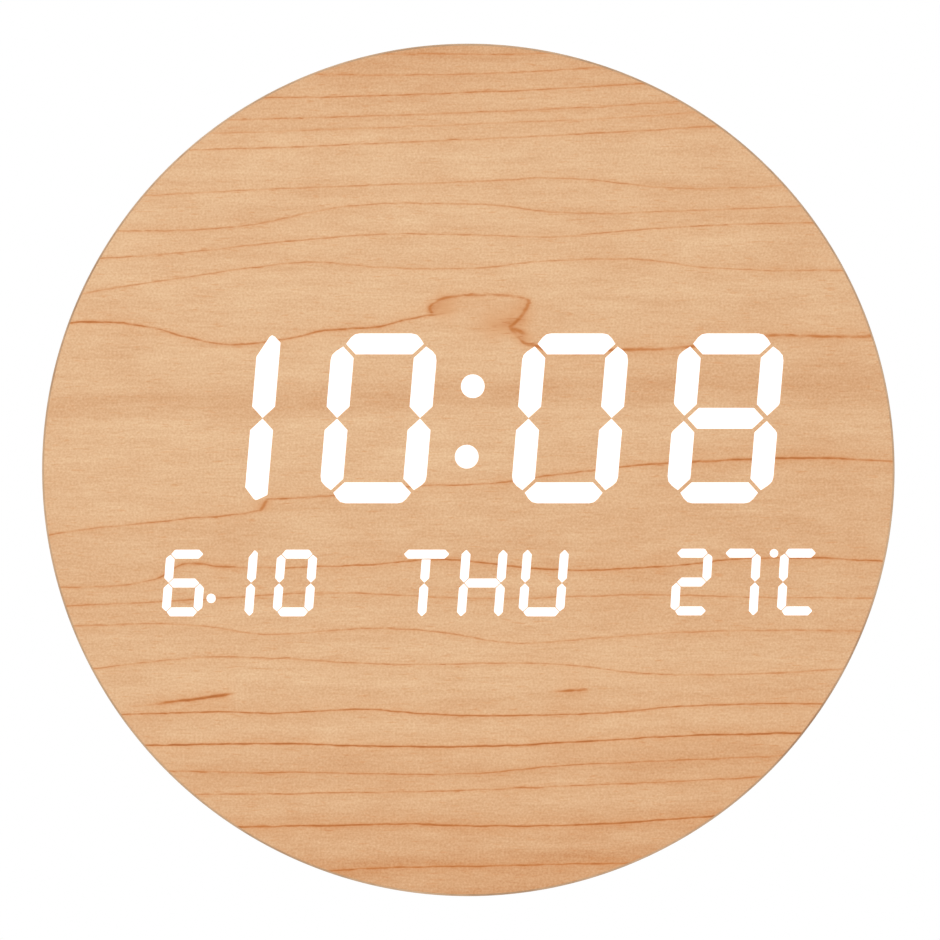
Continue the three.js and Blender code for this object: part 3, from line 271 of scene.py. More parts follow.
# Lines or stretches that end inside the face: strength, width, where they fade in and out (mm), points
SHORT_GRAIN = (
    (0.57, 1.2, (-160, -150, -20, -3), *UPPER_LINE),
    (0.36, 1.3, (-160, -150, -132, -108), *UPPER_LINE),
    (0.24, 1.4, (-66, -52, -18, -9), *UPPER_LINE),
    (0.50, 1.1, (-160, -150, -75, -72), (-147, -22.9), (-133, -20.6), (-115, -18.7), (-98, -16.9),
     (-84, -16.0), (-73, -14.2)),
    (0.58, 1.1, (-72, -69, 150, 160), *MIDDLE_LINE),
    (0.32, 1.5, (45, 80, 125, 146), *MIDDLE_LINE),
    (0.26, 3.2, (-116, -104, -86, -74), *DATE_LINE),
    (0.36, 1.2, (-70, -50, 150, 160), *DATE_LINE),
    (0.62, 2.1, (23, 29, 150, 160), (21, 43.9), (30, 42.2), (54, 42.2), (76, 43.2), (107, 47.1),
     (128, 46.8), (141, 47.1)),
    (0.56, 1.8, (-12.5, -10, 19, 23.5), (-13, 57.9), (-10.2, 59.8), (-4.3, 61.2), (1.6, 61.5),
     (11.7, 61.6), (18.4, 60.8), (22, 59.4)),
    (0.46, 2.4, (14.0, 15.5, 18, 21.5), (14.4, 50.0), (16.4, 49.4), (20.3, 47.8)),
    (0.66, 2.1, (17, 19.5, 26, 29), (17.6, 46.4), (20.3, 44.3), (23.4, 43.9), (26.2, 42.6), (29, 42.2)),
    (1.05, 1.6, (-122, -96, -86, -80.5), (-112, -82.7), (-97.9, -80.9), (-83.5, -78.8)),
    (0.86, 1.6, (26, 36.5, 39, 44), (26, -78.0), (38, -77.4), (47, -76.9)),
)
# Lines that run up the face, given like the short ones, but by points above and right of the centre
RISING_GRAIN = (
    (0.55, 2.7, (49.6, 50.8, 58.5, 61.4), (49.0, 14.0), (50.0, 14.5), (51.7, 16.4), (54.9, 19.2),
     (58.4, 21.0), (60.8, 21.4)),
    (0.24, 3.0, (45.8, 46.6, 49.5, 50.4), (45.8, 18.2), (46.4, 17.6), (49.0, 15.6), (50.4, 14.3)),
    (0.56, 2.0, (54.8, 55.5, 58.3, 59.4), (54.8, -12.6), (55.6, -13.0), (57.0, -13.7), (58.4, -12.6),
     (59.4, -11.0)),
    (0.46, 2.4, (-15.2, -14.0, -11.0, -9.6), (-15, -73.4), (-13.6, -72.6), (-12, -71.8), (-9.6, -70.4)),
)
# Stains at the knot and the middle line's start: right of and above the centre, radius (mm), strength
STAINS = (
    (14.0, 50.4, 5.0, 0.16),
    (9.5, 51.0, 9.0, 0.24),
    (18.0, 54.5, 8.0, 0.18),
    (-9.0, 57.4, 8.0, 0.24),
    (-13.0, 57.0, 3.6, 0.22),
    (19.0, 46.8, 6.0, 0.22),
    (2.0, 52.0, 16.0, 0.06),
    (-72.0, -12.5, 4.5, 0.20),
)
# Lightness of the wood from the bottom of the face to the top: height (mm), share
# Partly the wood's own bands, partly painted shade that makes the face darker towards the bottom
TONE_AND_SHADE = (
    (-150, 0.12), (-143, 0.33), (-138, 0.25), (-132, 0.44), (-124, 0.43), (-116, 0.55), (-104, 0.47),
    (-91, 0.64), (-84, 0.57), (-70, 0.67), (-56, 0.60), (-40, 0.60), (-33, 0.56), (-12, 0.60), (10, 0.66),
    (18, 0.67), (26, 0.48), (36, 0.65), (46, 0.66), (68, 0.68), (94, 0.65), (110, 0.68), (126, 0.60),
    (140, 0.48), (150, 0.32),
)
# Darkness beside a line, out to its reach (mm): share of the reach, share of the strength
LINE_REACH = 8.0
LINE_PROFILE = ((0, 1), (0.025, 0.72), (0.055, 0.29), (0.1, 0.17), (0.25, 0.09), (0.6, 0.025), (1, 0))
# Strengths of the breaks in the lines, the pores, the stains and the dark cores
LINE_BREAKS = (0.64, 1.36)
PORE_SPAN = (0.62, 0.78)
PORE_STRENGTH = 0.28
STAIN_SPECK = 1.2
STAIN_GAIN = 1.3
CORE_START = 0.28
CORE_GAIN = 1.12
# Lean of the tones, the reach (mm) of a painted shade that darkens the wood towards the right, and the
# weights of the finer figure
WOOD_LEAN = 0.03
SIDE_REACH = 125.0
SIDE_SHADE = (-0.02, 0.07)
FIBRE_WEIGHT = 0.47
SPECK_WEIGHT = 0.95
VEIN_WEIGHT = 0.42
FIGURE_WEIGHT = 0.28
WOOD_DARK = srgb(207, 142, 88)
WOOD_LIGHT = srgb(244, 205, 161)
WOOD_STAIN = srgb(218, 138, 68)
WOOD_LINE = srgb(183, 104, 39)


def maple_look():
    """Maple with the face's lines, knot and tones as given, and finer figure from noise."""
    look = Look("maple_veneer", roughness=0.46)
    x, _, z = look.axes()

    def wave(size, swing, **settings):
        return look.math("MULTIPLY", look.math("SUBTRACT", look.noise(size, **settings), 0.5), swing)

    shiver = wave((7, 7, 4), 0.8, seed=9.0)
    height = look.math("ADD", z, look.math("ADD", wave((40, 40, 14), 1.0, seed=3.0), shiver))
    across = look.math("ADD", x, shiver)

    def share(value):
        return (value + DISC_RADIUS) / (2 * DISC_RADIUS)

    def unit(value):
        return look.math("DIVIDE", look.math("ADD", value, DISC_RADIUS), 2 * DISC_RADIUS)

    def darkness(along, beside, strength, width, points):
        """How dark a line through points is, by the distance beside it."""
        path = look.curve(unit(along), [(share(a), share(b)) for a, b in points])
        path = look.math("SUBTRACT", look.math("MULTIPLY", path, 2 * DISC_RADIUS), DISC_RADIUS)
        offset = look.math("ABSOLUTE", look.math("SUBTRACT", beside, path))
        near = look.math("MINIMUM", look.math("DIVIDE", offset, LINE_REACH * width), 1.0)
        return look.math("MULTIPLY", look.curve(near, LINE_PROFILE), strength)

    def window(value, fades):
        """1 between two fades, and 0 outside them."""
        start, full, last, end = fades
        return look.math("MULTIPLY", look.ramp(value, start, full), look.ramp(value, last, end, 1.0, 0.0))

    def total(parts):
        whole = parts[0]
        for part in parts[1:]:
            whole = look.math("ADD", whole, part)
        return whole

    lines = [darkness(x, height, strength, 1.0, points) for strength, *points in GRAIN]
    for strength, width, fades, *points in SHORT_GRAIN:
        line = darkness(x, height, strength, width, points)
        lines.append(look.math("MULTIPLY", line, window(x, fades)))
    for strength, width, fades, *points in RISING_GRAIN:
        line = darkness(z, across, strength, width, points)
        lines.append(look.math("MULTIPLY", line, window(z, fades)))
    patches = look.noise((6, 6, 2.5), detail=3.0, roughness=0.65, seed=21.0)
    broken = look.ramp(patches, *NOISE_SPAN, *LINE_BREAKS)
    pores = look.ramp(look.noise((5.0, 5.0, 0.5), detail=1.0, seed=31.0), *PORE_SPAN, 0.0, PORE_STRENGTH)
    stains = []
    for centre_x, centre_z, radius, strength in STAINS:
        dx = look.math("SUBTRACT", x, centre_x)
        dz = look.math("SUBTRACT", z, centre_z)
        squares = look.math("ADD", look.math("MULTIPLY", dx, dx), look.math("MULTIPLY", dz, dz))
        stains.append(look.ramp(look.math("SQRT", squares), 0.0, radius, strength, 0.0))
    speck = wave((0.78, 0.78, 0.7), 1.0, detail=2.0, seed=7.0)
    mottled = look.math("ADD", 1.0, look.math("MULTIPLY", speck, STAIN_SPECK))
    stained = look.math("MULTIPLY", total(stains), mottled)
    lines = total([look.math("MULTIPLY", total(lines), broken), pores, stained])

    leaning = look.math("SUBTRACT", height, look.math("MULTIPLY", x, WOOD_LEAN))
    # the listed tones carry painted shade as well as the wood's bands: darker towards the bottom
    tone = look.curve(unit(leaning), [(share(a), b) for a, b in TONE_AND_SHADE])
    # painted shade: the wood is made lighter left of the centre and darker towards the right
    tone = look.math("SUBTRACT", tone, look.ramp(x, 0.0, SIDE_REACH, *SIDE_SHADE))
    fibre = wave((6.0, 6.0, 0.65), 1.0, detail=3.0, roughness=0.6, seed=1.0)
    veins = wave((34, 34, 3.2), 1.0, detail=2.0, seed=5.0)
    figure = wave((22, 22, 11), 1.0, detail=1.0, seed=17.0)
    weights = (FIBRE_WEIGHT, SPECK_WEIGHT, VEIN_WEIGHT, FIGURE_WEIGHT)
    for part, weight in zip((fibre, speck, veins, figure), weights):
        tone = look.math("ADD", tone, look.math("MULTIPLY", part, weight))
    wood = look.mix(tone, WOOD_DARK, WOOD_LIGHT)
    stained_wood = look.mix(look.math("MULTIPLY", lines, STAIN_GAIN), wood, WOOD_STAIN)
    core = look.math("MULTIPLY", look.math("SUBTRACT", lines, CORE_START), CORE_GAIN)
    look.colour(look.mix(core, stained_wood, WOOD_LINE))
    look.rough(look.ramp(fibre, -0.3, 0.3, 0.42, 0.52))
    look.bump(fibre, strength=0.12, depth=0.06)
    return look


def band_look():
    """Wood whose grain runs round the rim."""
    look = Look("edge_wood", roughness=0.5)
    x, y, z = look.axes()
    round_rim = look.math("MULTIPLY", look.math("ARCTAN2", x, z), DISC_RADIUS * MM)
    wrapped = look.add("ShaderNodeCombineXYZ")
    look.put(wrapped.inputs[0], round_rim)
    look.put(wrapped.inputs[1], look.math("MULTIPLY", y, MM))
    strip = {"place": wrapped.outputs[0]}
    streak = look.noise((60, 1.3, 1), detail=4.0, roughness=0.6, seed=2.0, **strip)
    cloud = look.noise((70, 9, 1), seed=6.0, **strip)
    fleck = look.noise((4, 0.45, 1), detail=2.0, seed=14.0, **strip)
    tone = look.math("ADD", look.math("MULTIPLY", streak, 0.5), look.math("MULTIPLY", cloud, 0.3))
    tone = look.math("ADD", tone, look.math("MULTIPLY", fleck, 0.25))
    wood = look.mix(look.ramp(tone, 0.35, 0.7), srgb(170, 132, 98), srgb(216, 178, 140))
    vein = look.ramp(look.noise((90, 2.4, 1), detail=2.0, seed=19.0, **strip), 0.6, 0.72, 0.0, 0.55)
    look.colour(look.mix(vein, wood, srgb(158, 108, 70)))
    look.rough(look.ramp(streak, *NOISE_SPAN, 0.44, 0.58))
    look.bump(streak, strength=0.2, depth=0.08)
    return look


def fibreboard_look():
    look = Look("fibreboard", roughness=0.85)
    fibres = look.noise((1.1, 0.5, 1.1), detail=4.0, roughness=0.7, seed=4.0)
    clumps = look.noise((5, 2, 5), detail=2.0, seed=8.0)
    tone = look.math("ADD", look.math("MULTIPLY", fibres, 0.75), look.math("MULTIPLY", clumps, 0.25))
    look.colour(look.mix(look.ramp(tone, *NOISE_SPAN), srgb(132, 98, 66), srgb(186, 150, 112)))
    look.rough(look.ramp(fibres, *NOISE_SPAN, 0.78, 0.95))
    look.bump(fibres, strength=0.5, depth=0.1)
    return look


def moulded_look(name, dark, light, roughness, grain=0.5):
    """Moulded plastic with a spark-eroded texture and a faint flow of tone."""
    look = Look(name, roughness=roughness)
    texture = look.noise((grain, grain, grain), detail=3.0, roughness=0.6, seed=1.5)
    flow = look.noise((38, 20, 26), detail=2.0, seed=11.0)
    tone = look.math("ADD", look.math("MULTIPLY", texture, 0.8), look.math("MULTIPLY", flow, 0.2))
    look.colour(look.mix(look.ramp(tone, *NOISE_SPAN), dark, light))
    look.rough(look.ramp(texture, *NOISE_SPAN, roughness - 0.06, roughness + 0.08))
    look.bump(texture, strength=0.3, depth=0.05)
    return look


def metal_look(name, dark, light, roughness, stretch=(6.0, 0.4, 0.4)):
    """Plated or rolled metal, with fine lines along the axis that stretch is longest on."""
    look = Look(name, roughness=roughness, metallic=1.0)
    lines = look.noise(stretch, detail=3.0, roughness=0.65, seed=2.5)
    cloud = look.noise((9, 9, 9), detail=2.0, seed=12.0)
    tone = look.math("ADD", look.math("MULTIPLY", lines, 0.5), look.math("MULTIPLY", cloud, 0.5))
    look.colour(look.mix(look.ramp(tone, *NOISE_SPAN), dark, light))
    look.rough(look.ramp(tone, *NOISE_SPAN, roughness - 0.08, roughness + 0.12))
    look.bump(lines, strength=0.12, depth=0.03)
    return look


GLOW = 0.45


def lit_look():
    look = Look("lit_diffuser", roughness=0.45)
    grain = look.noise((0.4, 0.4, 0.4), detail=2.0, seed=13.0)
    look.colour(look.mix(grain, srgb(236, 236, 234), srgb(250, 250, 249)))
    look.bump(grain, strength=0.05, depth=0.02)
    look.shader.inputs["Emission Color"].default_value = WHITE
    look.shader.inputs["Emission Strength"].default_value = GLOW
    return look


# Circuit board: fields between tracks (mm), a track's soft edge as shares of one, weave (radians per mm)
TRACK_FIELD = 3.2
TRACK_EDGE = (0.05, 0.09)
WEAVE = 9.0
# Pitch of the ribbon's ridges (mm)
RIBBON_PITCH = 1.2


def board_look():
    look = Look("circuit_board", roughness=0.42)
    x, _, z = look.axes()
    tracks = look.add("ShaderNodeTexVoronoi", feature="DISTANCE_TO_EDGE")
    mapping = look.add("ShaderNodeMapping")
    look.put(mapping.inputs["Vector"], look.place)
    mapping.inputs["Scale"].default_value = [1 / (TRACK_FIELD * MM)] * 3
    look.put(tracks.inputs["Vector"], mapping.outputs[0])
    track = look.ramp(tracks.outputs["Distance"], *TRACK_EDGE, 1.0, 0.0)
    warp = look.math("SINE", look.math("MULTIPLY", x, WEAVE))
    weft = look.math("SINE", look.math("MULTIPLY", z, WEAVE))
    weave = look.math("MULTIPLY", warp, weft)
    base = look.mix(look.ramp(weave, -1.0, 1.0), srgb(18, 88, 54), srgb(24, 102, 62))
    look.colour(look.mix(track, base, srgb(46, 138, 84)))
    look.bump(track, strength=0.35, depth=0.04)
    return look


def ribbon_look():
    look = Look("ribbon_plastic", roughness=0.55)
    x, _, _ = look.axes()
    ridge = look.math("ABSOLUTE", look.math("SINE", look.math("MULTIPLY", x, math.pi / RIBBON_PITCH)))
    # painted shade: the grey is darker in the grooves between the ridges and lighter on their crests
    groove_shaded_grey = look.mix(ridge, srgb(120, 123, 128), srgb(172, 175, 180))
    look.colour(groove_shaded_grey)
    look.bump(ridge, strength=0.6, depth=0.3)
    return look


IVORY = (srgb(222, 214, 194), srgb(238, 232, 215))
BLACK = (srgb(24, 25, 27), srgb(40, 41, 44))
BRIGHT_STEEL = (srgb(196, 197, 198), srgb(226, 227, 227))
FINE_GRAIN = 0.35
TURNED_LINES = (0.25, 0.25, 5.0)
LOOKS = {
    "maple_veneer": maple_look(),
    "edge_wood": band_look(),
    "fibreboard": fibreboard_look(),
    "cover_plastic": moulded_look("cover_plastic", srgb(212, 208, 199), srgb(229, 226, 218), 0.5),
    "button_plastic": moulded_look("button_plastic", srgb(58, 60, 64), srgb(78, 80, 84), 0.46),
    "lit_diffuser": lit_look(),
    "reflector_plastic": moulded_look("reflector_plastic", srgb(228, 228, 224), srgb(242, 242, 239), 0.4),
    "circuit_board": board_look(),
    "black_plastic": moulded_look("black_plastic", *BLACK, 0.48, grain=FINE_GRAIN),
    "socket_plastic": moulded_look("socket_plastic", *IVORY, 0.45, grain=FINE_GRAIN),
    "ribbon_plastic": ribbon_look(),
    "zinc_steel": metal_look("zinc_steel", srgb(172, 177, 182), srgb(212, 215, 217), 0.34),
    "cell_steel": metal_look("cell_steel", *BRIGHT_STEEL, 0.24, TURNED_LINES),
    "brass_pin": metal_look("brass_pin", srgb(186, 146, 62), srgb(222, 186, 98), 0.28),
}
SLOT_OF = {part["node"]: part["material_slot"] for part in frame["record"]["subparts"]}
for node, slot in SLOT_OF.items():
    for entry in NODES[node].material_slots:
        entry.material = LOOKS[slot].material


# Mesh making
def finished(name, bm, slot):
    """A new object from a bmesh, smooth where it curves."""
    bmesh.ops.recalc_face_normals(bm, faces=bm.faces)
    mesh = bpy.data.meshes.new(name)
    bm.to_mesh(mesh)
    bm.free()
    mesh.materials.append(LOOKS[slot].material)
    shade(mesh)
    piece = bpy.data.objects.new(name, mesh)
    bpy.context.scene.collection.objects.link(piece)
    return piece


def shade(mesh):
    for face in mesh.polygons:
        face.use_smooth = True
    mesh.set_sharp_from_angle(angle=SHARP_ANGLE)


def seat(piece, body, slot, *nodes):
    """The piece moves with a body and stands for its CAD nodes, which it hides; slot is not used."""
    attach(piece, body)
    if nodes:
        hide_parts(*nodes)
    return piece


def rounded_path(corners, steps=ROUND_STEPS, closed=False):
    """Corners of radius, depth and fillet (mm), with an arc at each corner that has a fillet."""
    points = []
    count = len(corners)
    for i, (r, y, fillet) in enumerate(corners):
        here = Vector((r, y))
        if not fillet or (not closed and i in (0, count - 1)):
            points.append(here)
            continue
        back = (Vector(corners[i - 1][:2]) - here).normalized()
        ahead = (Vector(corners[(i + 1) % count][:2]) - here).normalized()
        half = math.acos(max(-1.0, min(1.0, back.dot(ahead)))) / 2
        centre = here + (back + ahead).normalized() * (fillet / math.sin(half))
        start = here + back * (fillet / math.tan(half)) - centre
        end = here + ahead * (fillet / math.tan(half)) - centre
        turn = start.angle_signed(end)
        for k in range(steps + 1):
            angle = -turn * k / steps
            spun = Vector((
                start.x * math.cos(angle) - start.y * math.sin(angle),
                start.x * math.sin(angle) + start.y * math.cos(angle),
            ))
            points.append(centre + spun)
    return points


def turned(path, sides, closed=False):
    """A bmesh turned about the depth axis, from points of radius and depth (mm), flat at open ends."""
    bm = bmesh.new()
    rings = []
    for r, y in path:
        if r < NEAR:
            rings.append([bm.verts.new((0, y * MM, 0))])
            continue
        turn = [2 * math.pi * k / sides for k in range(sides)]
        rings.append([bm.verts.new((r * MM * math.cos(a), y * MM, r * MM * math.sin(a))) for a in turn])
    pairs = list(zip(rings, rings[1:]))
    if closed:
        pairs.append((rings[-1], rings[0]))
    for first, second in pairs:
        for k in range(sides):
            n = (k + 1) % sides
            corners = [first[k % len(first)], first[n % len(first)]]
            corners += [second[n % len(second)], second[k % len(second)]]
            corners = list(dict.fromkeys(corners))
            if len(corners) > 2:
                bm.faces.new(corners)
    for end in (rings[0], rings[-1]):
        if len(end) > 1 and not closed:
            bm.faces.new(end)
    return bm


def walled(bm, first, second):
    """Adds faces on two rings of vertices and all round between them."""
    bm.faces.new(first)
    bm.faces.new(second)
    for k in range(len(first)):
        n = (k + 1) % len(first)
        bm.faces.new((first[k], first[n], second[n], second[k]))


def boxed(low, high):
    """A box between two corners (mm)."""
    bm = bmesh.new()
    low, high = Vector(low), Vector(high)
    outline = ((low.x, low.z), (high.x, low.z), (high.x, high.z), (low.x, high.z))
    back, front = ([bm.verts.new((x * MM, y * MM, z * MM)) for x, z in outline] for y in (low.y, high.y))
    walled(bm, back, front)
    bmesh.ops.recalc_face_normals(bm, faces=bm.faces)
    return bm


def prism(bm, outline, low_x, high_x):
    """Adds an outline of depth and height (mm), drawn out along the right axis."""
    left, right = ([bm.verts.new((x * MM, y * MM, z * MM)) for y, z in outline] for x in (low_x, high_x))
    walled(bm, left, right)


def joined(parts):
    """One bmesh of several, which are used up."""
    whole = bmesh.new()
    for part in parts:
        spare = bpy.data.meshes.new("spare")
        part.to_mesh(spare)
        part.free()
        whole.from_mesh(spare)
        bpy.data.meshes.remove(spare)
    return whole


def cleaned(mesh):
    """Slivers that a cut leaves are dissolved."""
    bm = bmesh.new()
    bm.from_mesh(mesh)
    bmesh.ops.remove_doubles(bm, verts=bm.verts, dist=SLIVER * MM)
    bmesh.ops.dissolve_degenerate(bm, edges=bm.edges, dist=SLIVER * MM)
    bm.to_mesh(mesh)
    bm.free()


def carved(piece, *cutters):
    """The piece less its cutters, which are used up."""
    for cutter in cutters:
        modifier = piece.modifiers.new("cut", "BOOLEAN")
        modifier.operation = "DIFFERENCE"
        modifier.solver = "EXACT"
        modifier.object = cutter
    shape = piece.evaluated_get(bpy.context.evaluated_depsgraph_get())
    mesh = bpy.data.meshes.new_from_object(shape)
    piece.modifiers.clear()
    before = piece.data
    piece.data = mesh
    bpy.data.meshes.remove(before)
    cleaned(mesh)
    shade(mesh)
    for cutter in cutters:
        bpy.data.objects.remove(cutter)
    return piece


def solid_of(node):
    """A CAD node's shape as a bmesh with whole flat faces."""
    bm = bmesh.new()
    bm.from_mesh(NODES[node].data)
    bmesh.ops.remove_doubles(bm, verts=bm.verts, dist=NEAR * MM)
    bmesh.ops.dissolve_limit(bm, angle_limit=FLAT_ANGLE, verts=bm.verts, edges=bm.edges)
    return bm


def reach(point):
    """Distance from the depth axis."""
    return math.hypot(point.x, point.z)


def true_rings(bm, least, cuts):
    """Short facets round the axis beyond a radius (mm) are divided, and lie on their true circle."""
    edges, radii = [], set()
    for edge in bm.edges:
        a, b = (vert.co for vert in edge.verts)
        level = abs(a.y - b.y) < NEAR * MM and abs(reach(a) - reach(b)) < NEAR * MM
        short = edge.calc_length() < RING_FACET * MM
        if level and short and min(reach(a), reach(b)) > least * MM:
            edges.append(edge)
            radii.add(round(reach(a) / MM, 2))
    made = bmesh.ops.subdivide_edges(bm, edges=edges, cuts=cuts)
    for vert in made["geom_inner"]:
        if isinstance(vert, bmesh.types.BMVert):
            now = reach(vert.co)
            true = min((r for r in radii if r * MM > now - NEAR * MM), default=now / MM)
            vert.co.x *= true * MM / now
            vert.co.z *= true * MM / now


def eased(bm, width, keep, steps=2):
    """Edges that keep() picks are rounded by a width (mm)."""
    edges = [e for e in bm.edges if e.is_manifold and e.calc_face_angle(0.0) > EASED_ANGLE and keep(e)]
    shape = {"segments": steps, "profile": 0.5, "affect": "EDGES", "clamp_overlap": True}
    bmesh.ops.bevel(bm, geom=edges, offset=width * MM, **shape)


def weighted(piece):
    """Flat faces stay flat beside their eased edges."""
    modifier = piece.modifiers.new("weighted", "WEIGHTED_NORMAL")
    modifier.keep_sharp = True
    modifier.weight = NORMAL_WEIGHT
    return piece


def always(_edge):
    return True


# Case
veneer = solid_of("face_veneer")
true_rings(veneer, FACE_RINGS, RING_CUTS)
seat(finished("veneer_disc", veneer, "maple_veneer"), "case", "maple_veneer", "face_veneer")

band_path = rounded_path(
    (
        (BAND_INNER, -CASE_DEPTH, 0),
        (DISC_RADIUS, -CASE_DEPTH, BAND_ROUND),
        (DISC_RADIUS, 0.0, BAND_ROUND),
        (BAND_INNER, 0.0, 0),
    ),
    closed=True,
)
band = finished("edge_ring", turned(band_path, BAND_SIDES, closed=True), "edge_wood")
notch_width, notch_depth = CORD_NOTCH
notch = boxed(
    (-notch_width / 2, -notch_depth, -DISC_RADIUS - NOTCH_MARGIN),
    (notch_width / 2, CLEAR, -DISC_RADIUS + NOTCH_MARGIN),
)
seat(carved(band, finished("notch", notch, "edge_wood")), "case", "edge_wood", "edge_band")

rim = solid_of("case_rim")
true_rings(rim, BACK_RINGS, RING_CUTS)
seat(finished("rim_ring", rim, "fibreboard"), "case", "fibreboard", "case_rim")


def in_skin(edge):
    """Whether an edge lies in the cover's outer skin, inside its groove."""
    return all(vert.co.y > -COVER_SKIN * MM and reach(vert.co) < GROOVE_INNER * MM for vert in edge.verts)


cover = solid_of("rear_cover")
true_rings(cover, BACK_RINGS, COVER_CUTS)
eased(cover, EASE["cover"], in_skin)
seat(weighted(finished("cover_shell", cover, "cover_plastic")), "case", "cover_plastic", "rear_cover")

# Hanger and screws
plate = solid_of("hanger_plate")
eased(plate, EASE["plate"], always)
seat(weighted(finished("keyhole_plate", plate, "zinc_steel")), "case", "zinc_steel", "hanger_plate")

# Screw sizes (mm), and the turn from one screw to the next (degrees)
SCREW_RADIUS = 1.45
SCREW_SIDES = 40
SCREW_ROUND = 0.2
TIP_RADIUS = 0.5
TIP_LENGTH = 1.2
HEAD_RADIUS = 2.6
HEAD_RIM = 0.3
HEAD_HEIGHT = 1.6
HEAD_FLAT = 1.8
SUNK_ROUNDS = (0.1, 0.18)
SUNK_STEPS = 3
PAN_ROUNDS = (0.12, 0.6)
RECESS_ARM = 1.5
RECESS_HALF = 0.4
RECESS_DEPTH = 0.95
RECESS_TAPER = 0.55
SCREW_TURN = 31


def cross_recess():
    """A tapered cross, to be cut from the top of a screw's head."""
    corners = []
    for quarter in range(4):
        turn = Matrix.Rotation(-quarter * math.pi / 2, 2)
        for spot in ((RECESS_HALF, RECESS_HALF), (RECESS_ARM, RECESS_HALF), (RECESS_ARM, -RECESS_HALF)):
            corners.append(turn @ Vector(spot))
    bm = bmesh.new()
    rings = []
    for y, share in ((-RECESS_DEPTH, RECESS_TAPER), (CLEAR, 1.0)):
        rings.append([bm.verts.new((x * share * MM, y * MM, z * share * MM)) for x, z in corners])
    walled(bm, *rings)
    return finished("recess", bm, "zinc_steel")


def sunk_path(length):
    """Profile of a countersunk screw, from its tip to its head's flat top at depth 0."""
    rim_round, top_round = SUNK_ROUNDS
    corners = (
        (TIP_RADIUS, -length, 0),
        (SCREW_RADIUS, -length + TIP_LENGTH, SCREW_ROUND),
        (SCREW_RADIUS, -HEAD_RIM - HEAD_RADIUS + SCREW_RADIUS, SCREW_ROUND),
        (HEAD_RADIUS, -HEAD_RIM, rim_round),
        (HEAD_RADIUS, 0.0, top_round),
        (HEAD_FLAT, 0.0, 0),
    )
    return rounded_path(corners, steps=SUNK_STEPS)


def pan_path(length):
    """Profile of a pan-head screw, from its tip to the flat middle of its low dome at depth 0."""
    rim_round, dome_round = PAN_ROUNDS
    corners = (
        (TIP_RADIUS, -length, 0),
        (SCREW_RADIUS, -length + TIP_LENGTH, SCREW_ROUND),
        (SCREW_RADIUS, -HEAD_HEIGHT, 0),
        (HEAD_RADIUS, -HEAD_HEIGHT, rim_round),
        (HEAD_RADIUS, -HEAD_RIM, dome_round),
        (HEAD_FLAT, 0.0, 0),
    )
    return rounded_path(corners)


def screws(prefix, count, path, first_turn):
    """Screws of one kind on the tops of their CAD nodes, each stopped at its own angle."""
    low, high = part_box(f"{prefix}_1")
    form = finished("form", turned(path((high.y - low.y) / MM), SCREW_SIDES), "zinc_steel")
    mesh = carved(form, cross_recess()).data
    bpy.data.objects.remove(form)
    for i in range(count):
        low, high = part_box(f"{prefix}_{i + 1}")
        piece = bpy.data.objects.new(f"{prefix}_piece_{i + 1}", mesh)
        bpy.context.scene.collection.objects.link(piece)
        piece.location = ((low.x + high.x) / 2, high.y, (low.z + high.z) / 2)
        piece.rotation_euler = (0, math.radians(first_turn + SCREW_TURN * i), 0)
        seat(piece, "case", "zinc_steel", f"{prefix}_{i + 1}")


# Kinds of screw: name of their nodes, how many, profile, angle of the first (degrees)
SCREWS = (
    ("cover_screw", 6, sunk_path, 12),
    ("hanger_screw", 2, pan_path, 40),
    ("board_screw", 6, pan_path, 25),
    ("control_board_screw", 4, pan_path, 8),
)
for kind in SCREWS:
    screws(*kind)

# Battery door and coin cell
# Sizes of the finger grip (mm), its depths from the wall plane
GRIP_BARS = 4
GRIP_INSET = 3.2
GRIP_PITCH = 2.3
GRIP_WIDTH = 13.0
GRIP_TOP = -0.1
GRIP_FLOOR = -1.0
GRIP_MARGIN = 1.3
GRIP_ROUND = 1.2
GRIP_STEPS = 4
BAR_HALF = 0.55
BAR_ROOT = 0.1
BAR_STEPS = 3
door_low, door_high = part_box("battery_door")
door_x = (door_low.x + door_high.x) / 2 / MM
first_bar = door_low.z / MM + GRIP_INSET
last_bar = first_bar + (GRIP_BARS - 1) * GRIP_PITCH
half_width = GRIP_WIDTH / 2 + GRIP_MARGIN


def upright(edge):
    """Whether an edge runs mostly along the depth."""
    first, second = (vert.co for vert in edge.verts)
    return abs(first.y - second.y) > abs(first.x - second.x) + abs(first.z - second.z)


hollow = boxed(
    (door_x - half_width, GRIP_FLOOR, first_bar - BAR_HALF - GRIP_MARGIN),
    (door_x + half_width, -GRIP_FLOOR, last_bar + BAR_HALF + GRIP_MARGIN),
)
eased(hollow, GRIP_ROUND, upright, steps=GRIP_STEPS)
door = solid_of("battery_door")
eased(door, EASE["door"], always)
leaf = carved(finished("door_leaf", door, "cover_plastic"), finished("hollow", hollow, "cover_plastic"))
seat(weighted(leaf), "door", "cover_plastic", "battery_door")

grip_bars = []
for i in range(GRIP_BARS):
    bar_z = first_bar + i * GRIP_PITCH
    bar = boxed(
        (door_x - GRIP_WIDTH / 2, GRIP_FLOOR - BAR_ROOT, bar_z - BAR_HALF),
        (door_x + GRIP_WIDTH / 2, GRIP_TOP, bar_z + BAR_HALF),
    )
    eased(bar, EASE["grip"], always, steps=BAR_STEPS)
    grip_bars.append(bar)
seat(finished("door_grip", joined(grip_bars), "cover_plastic"), "door", "cover_plastic")

CELL_SIDES = 96
CELL_STEPS = 4
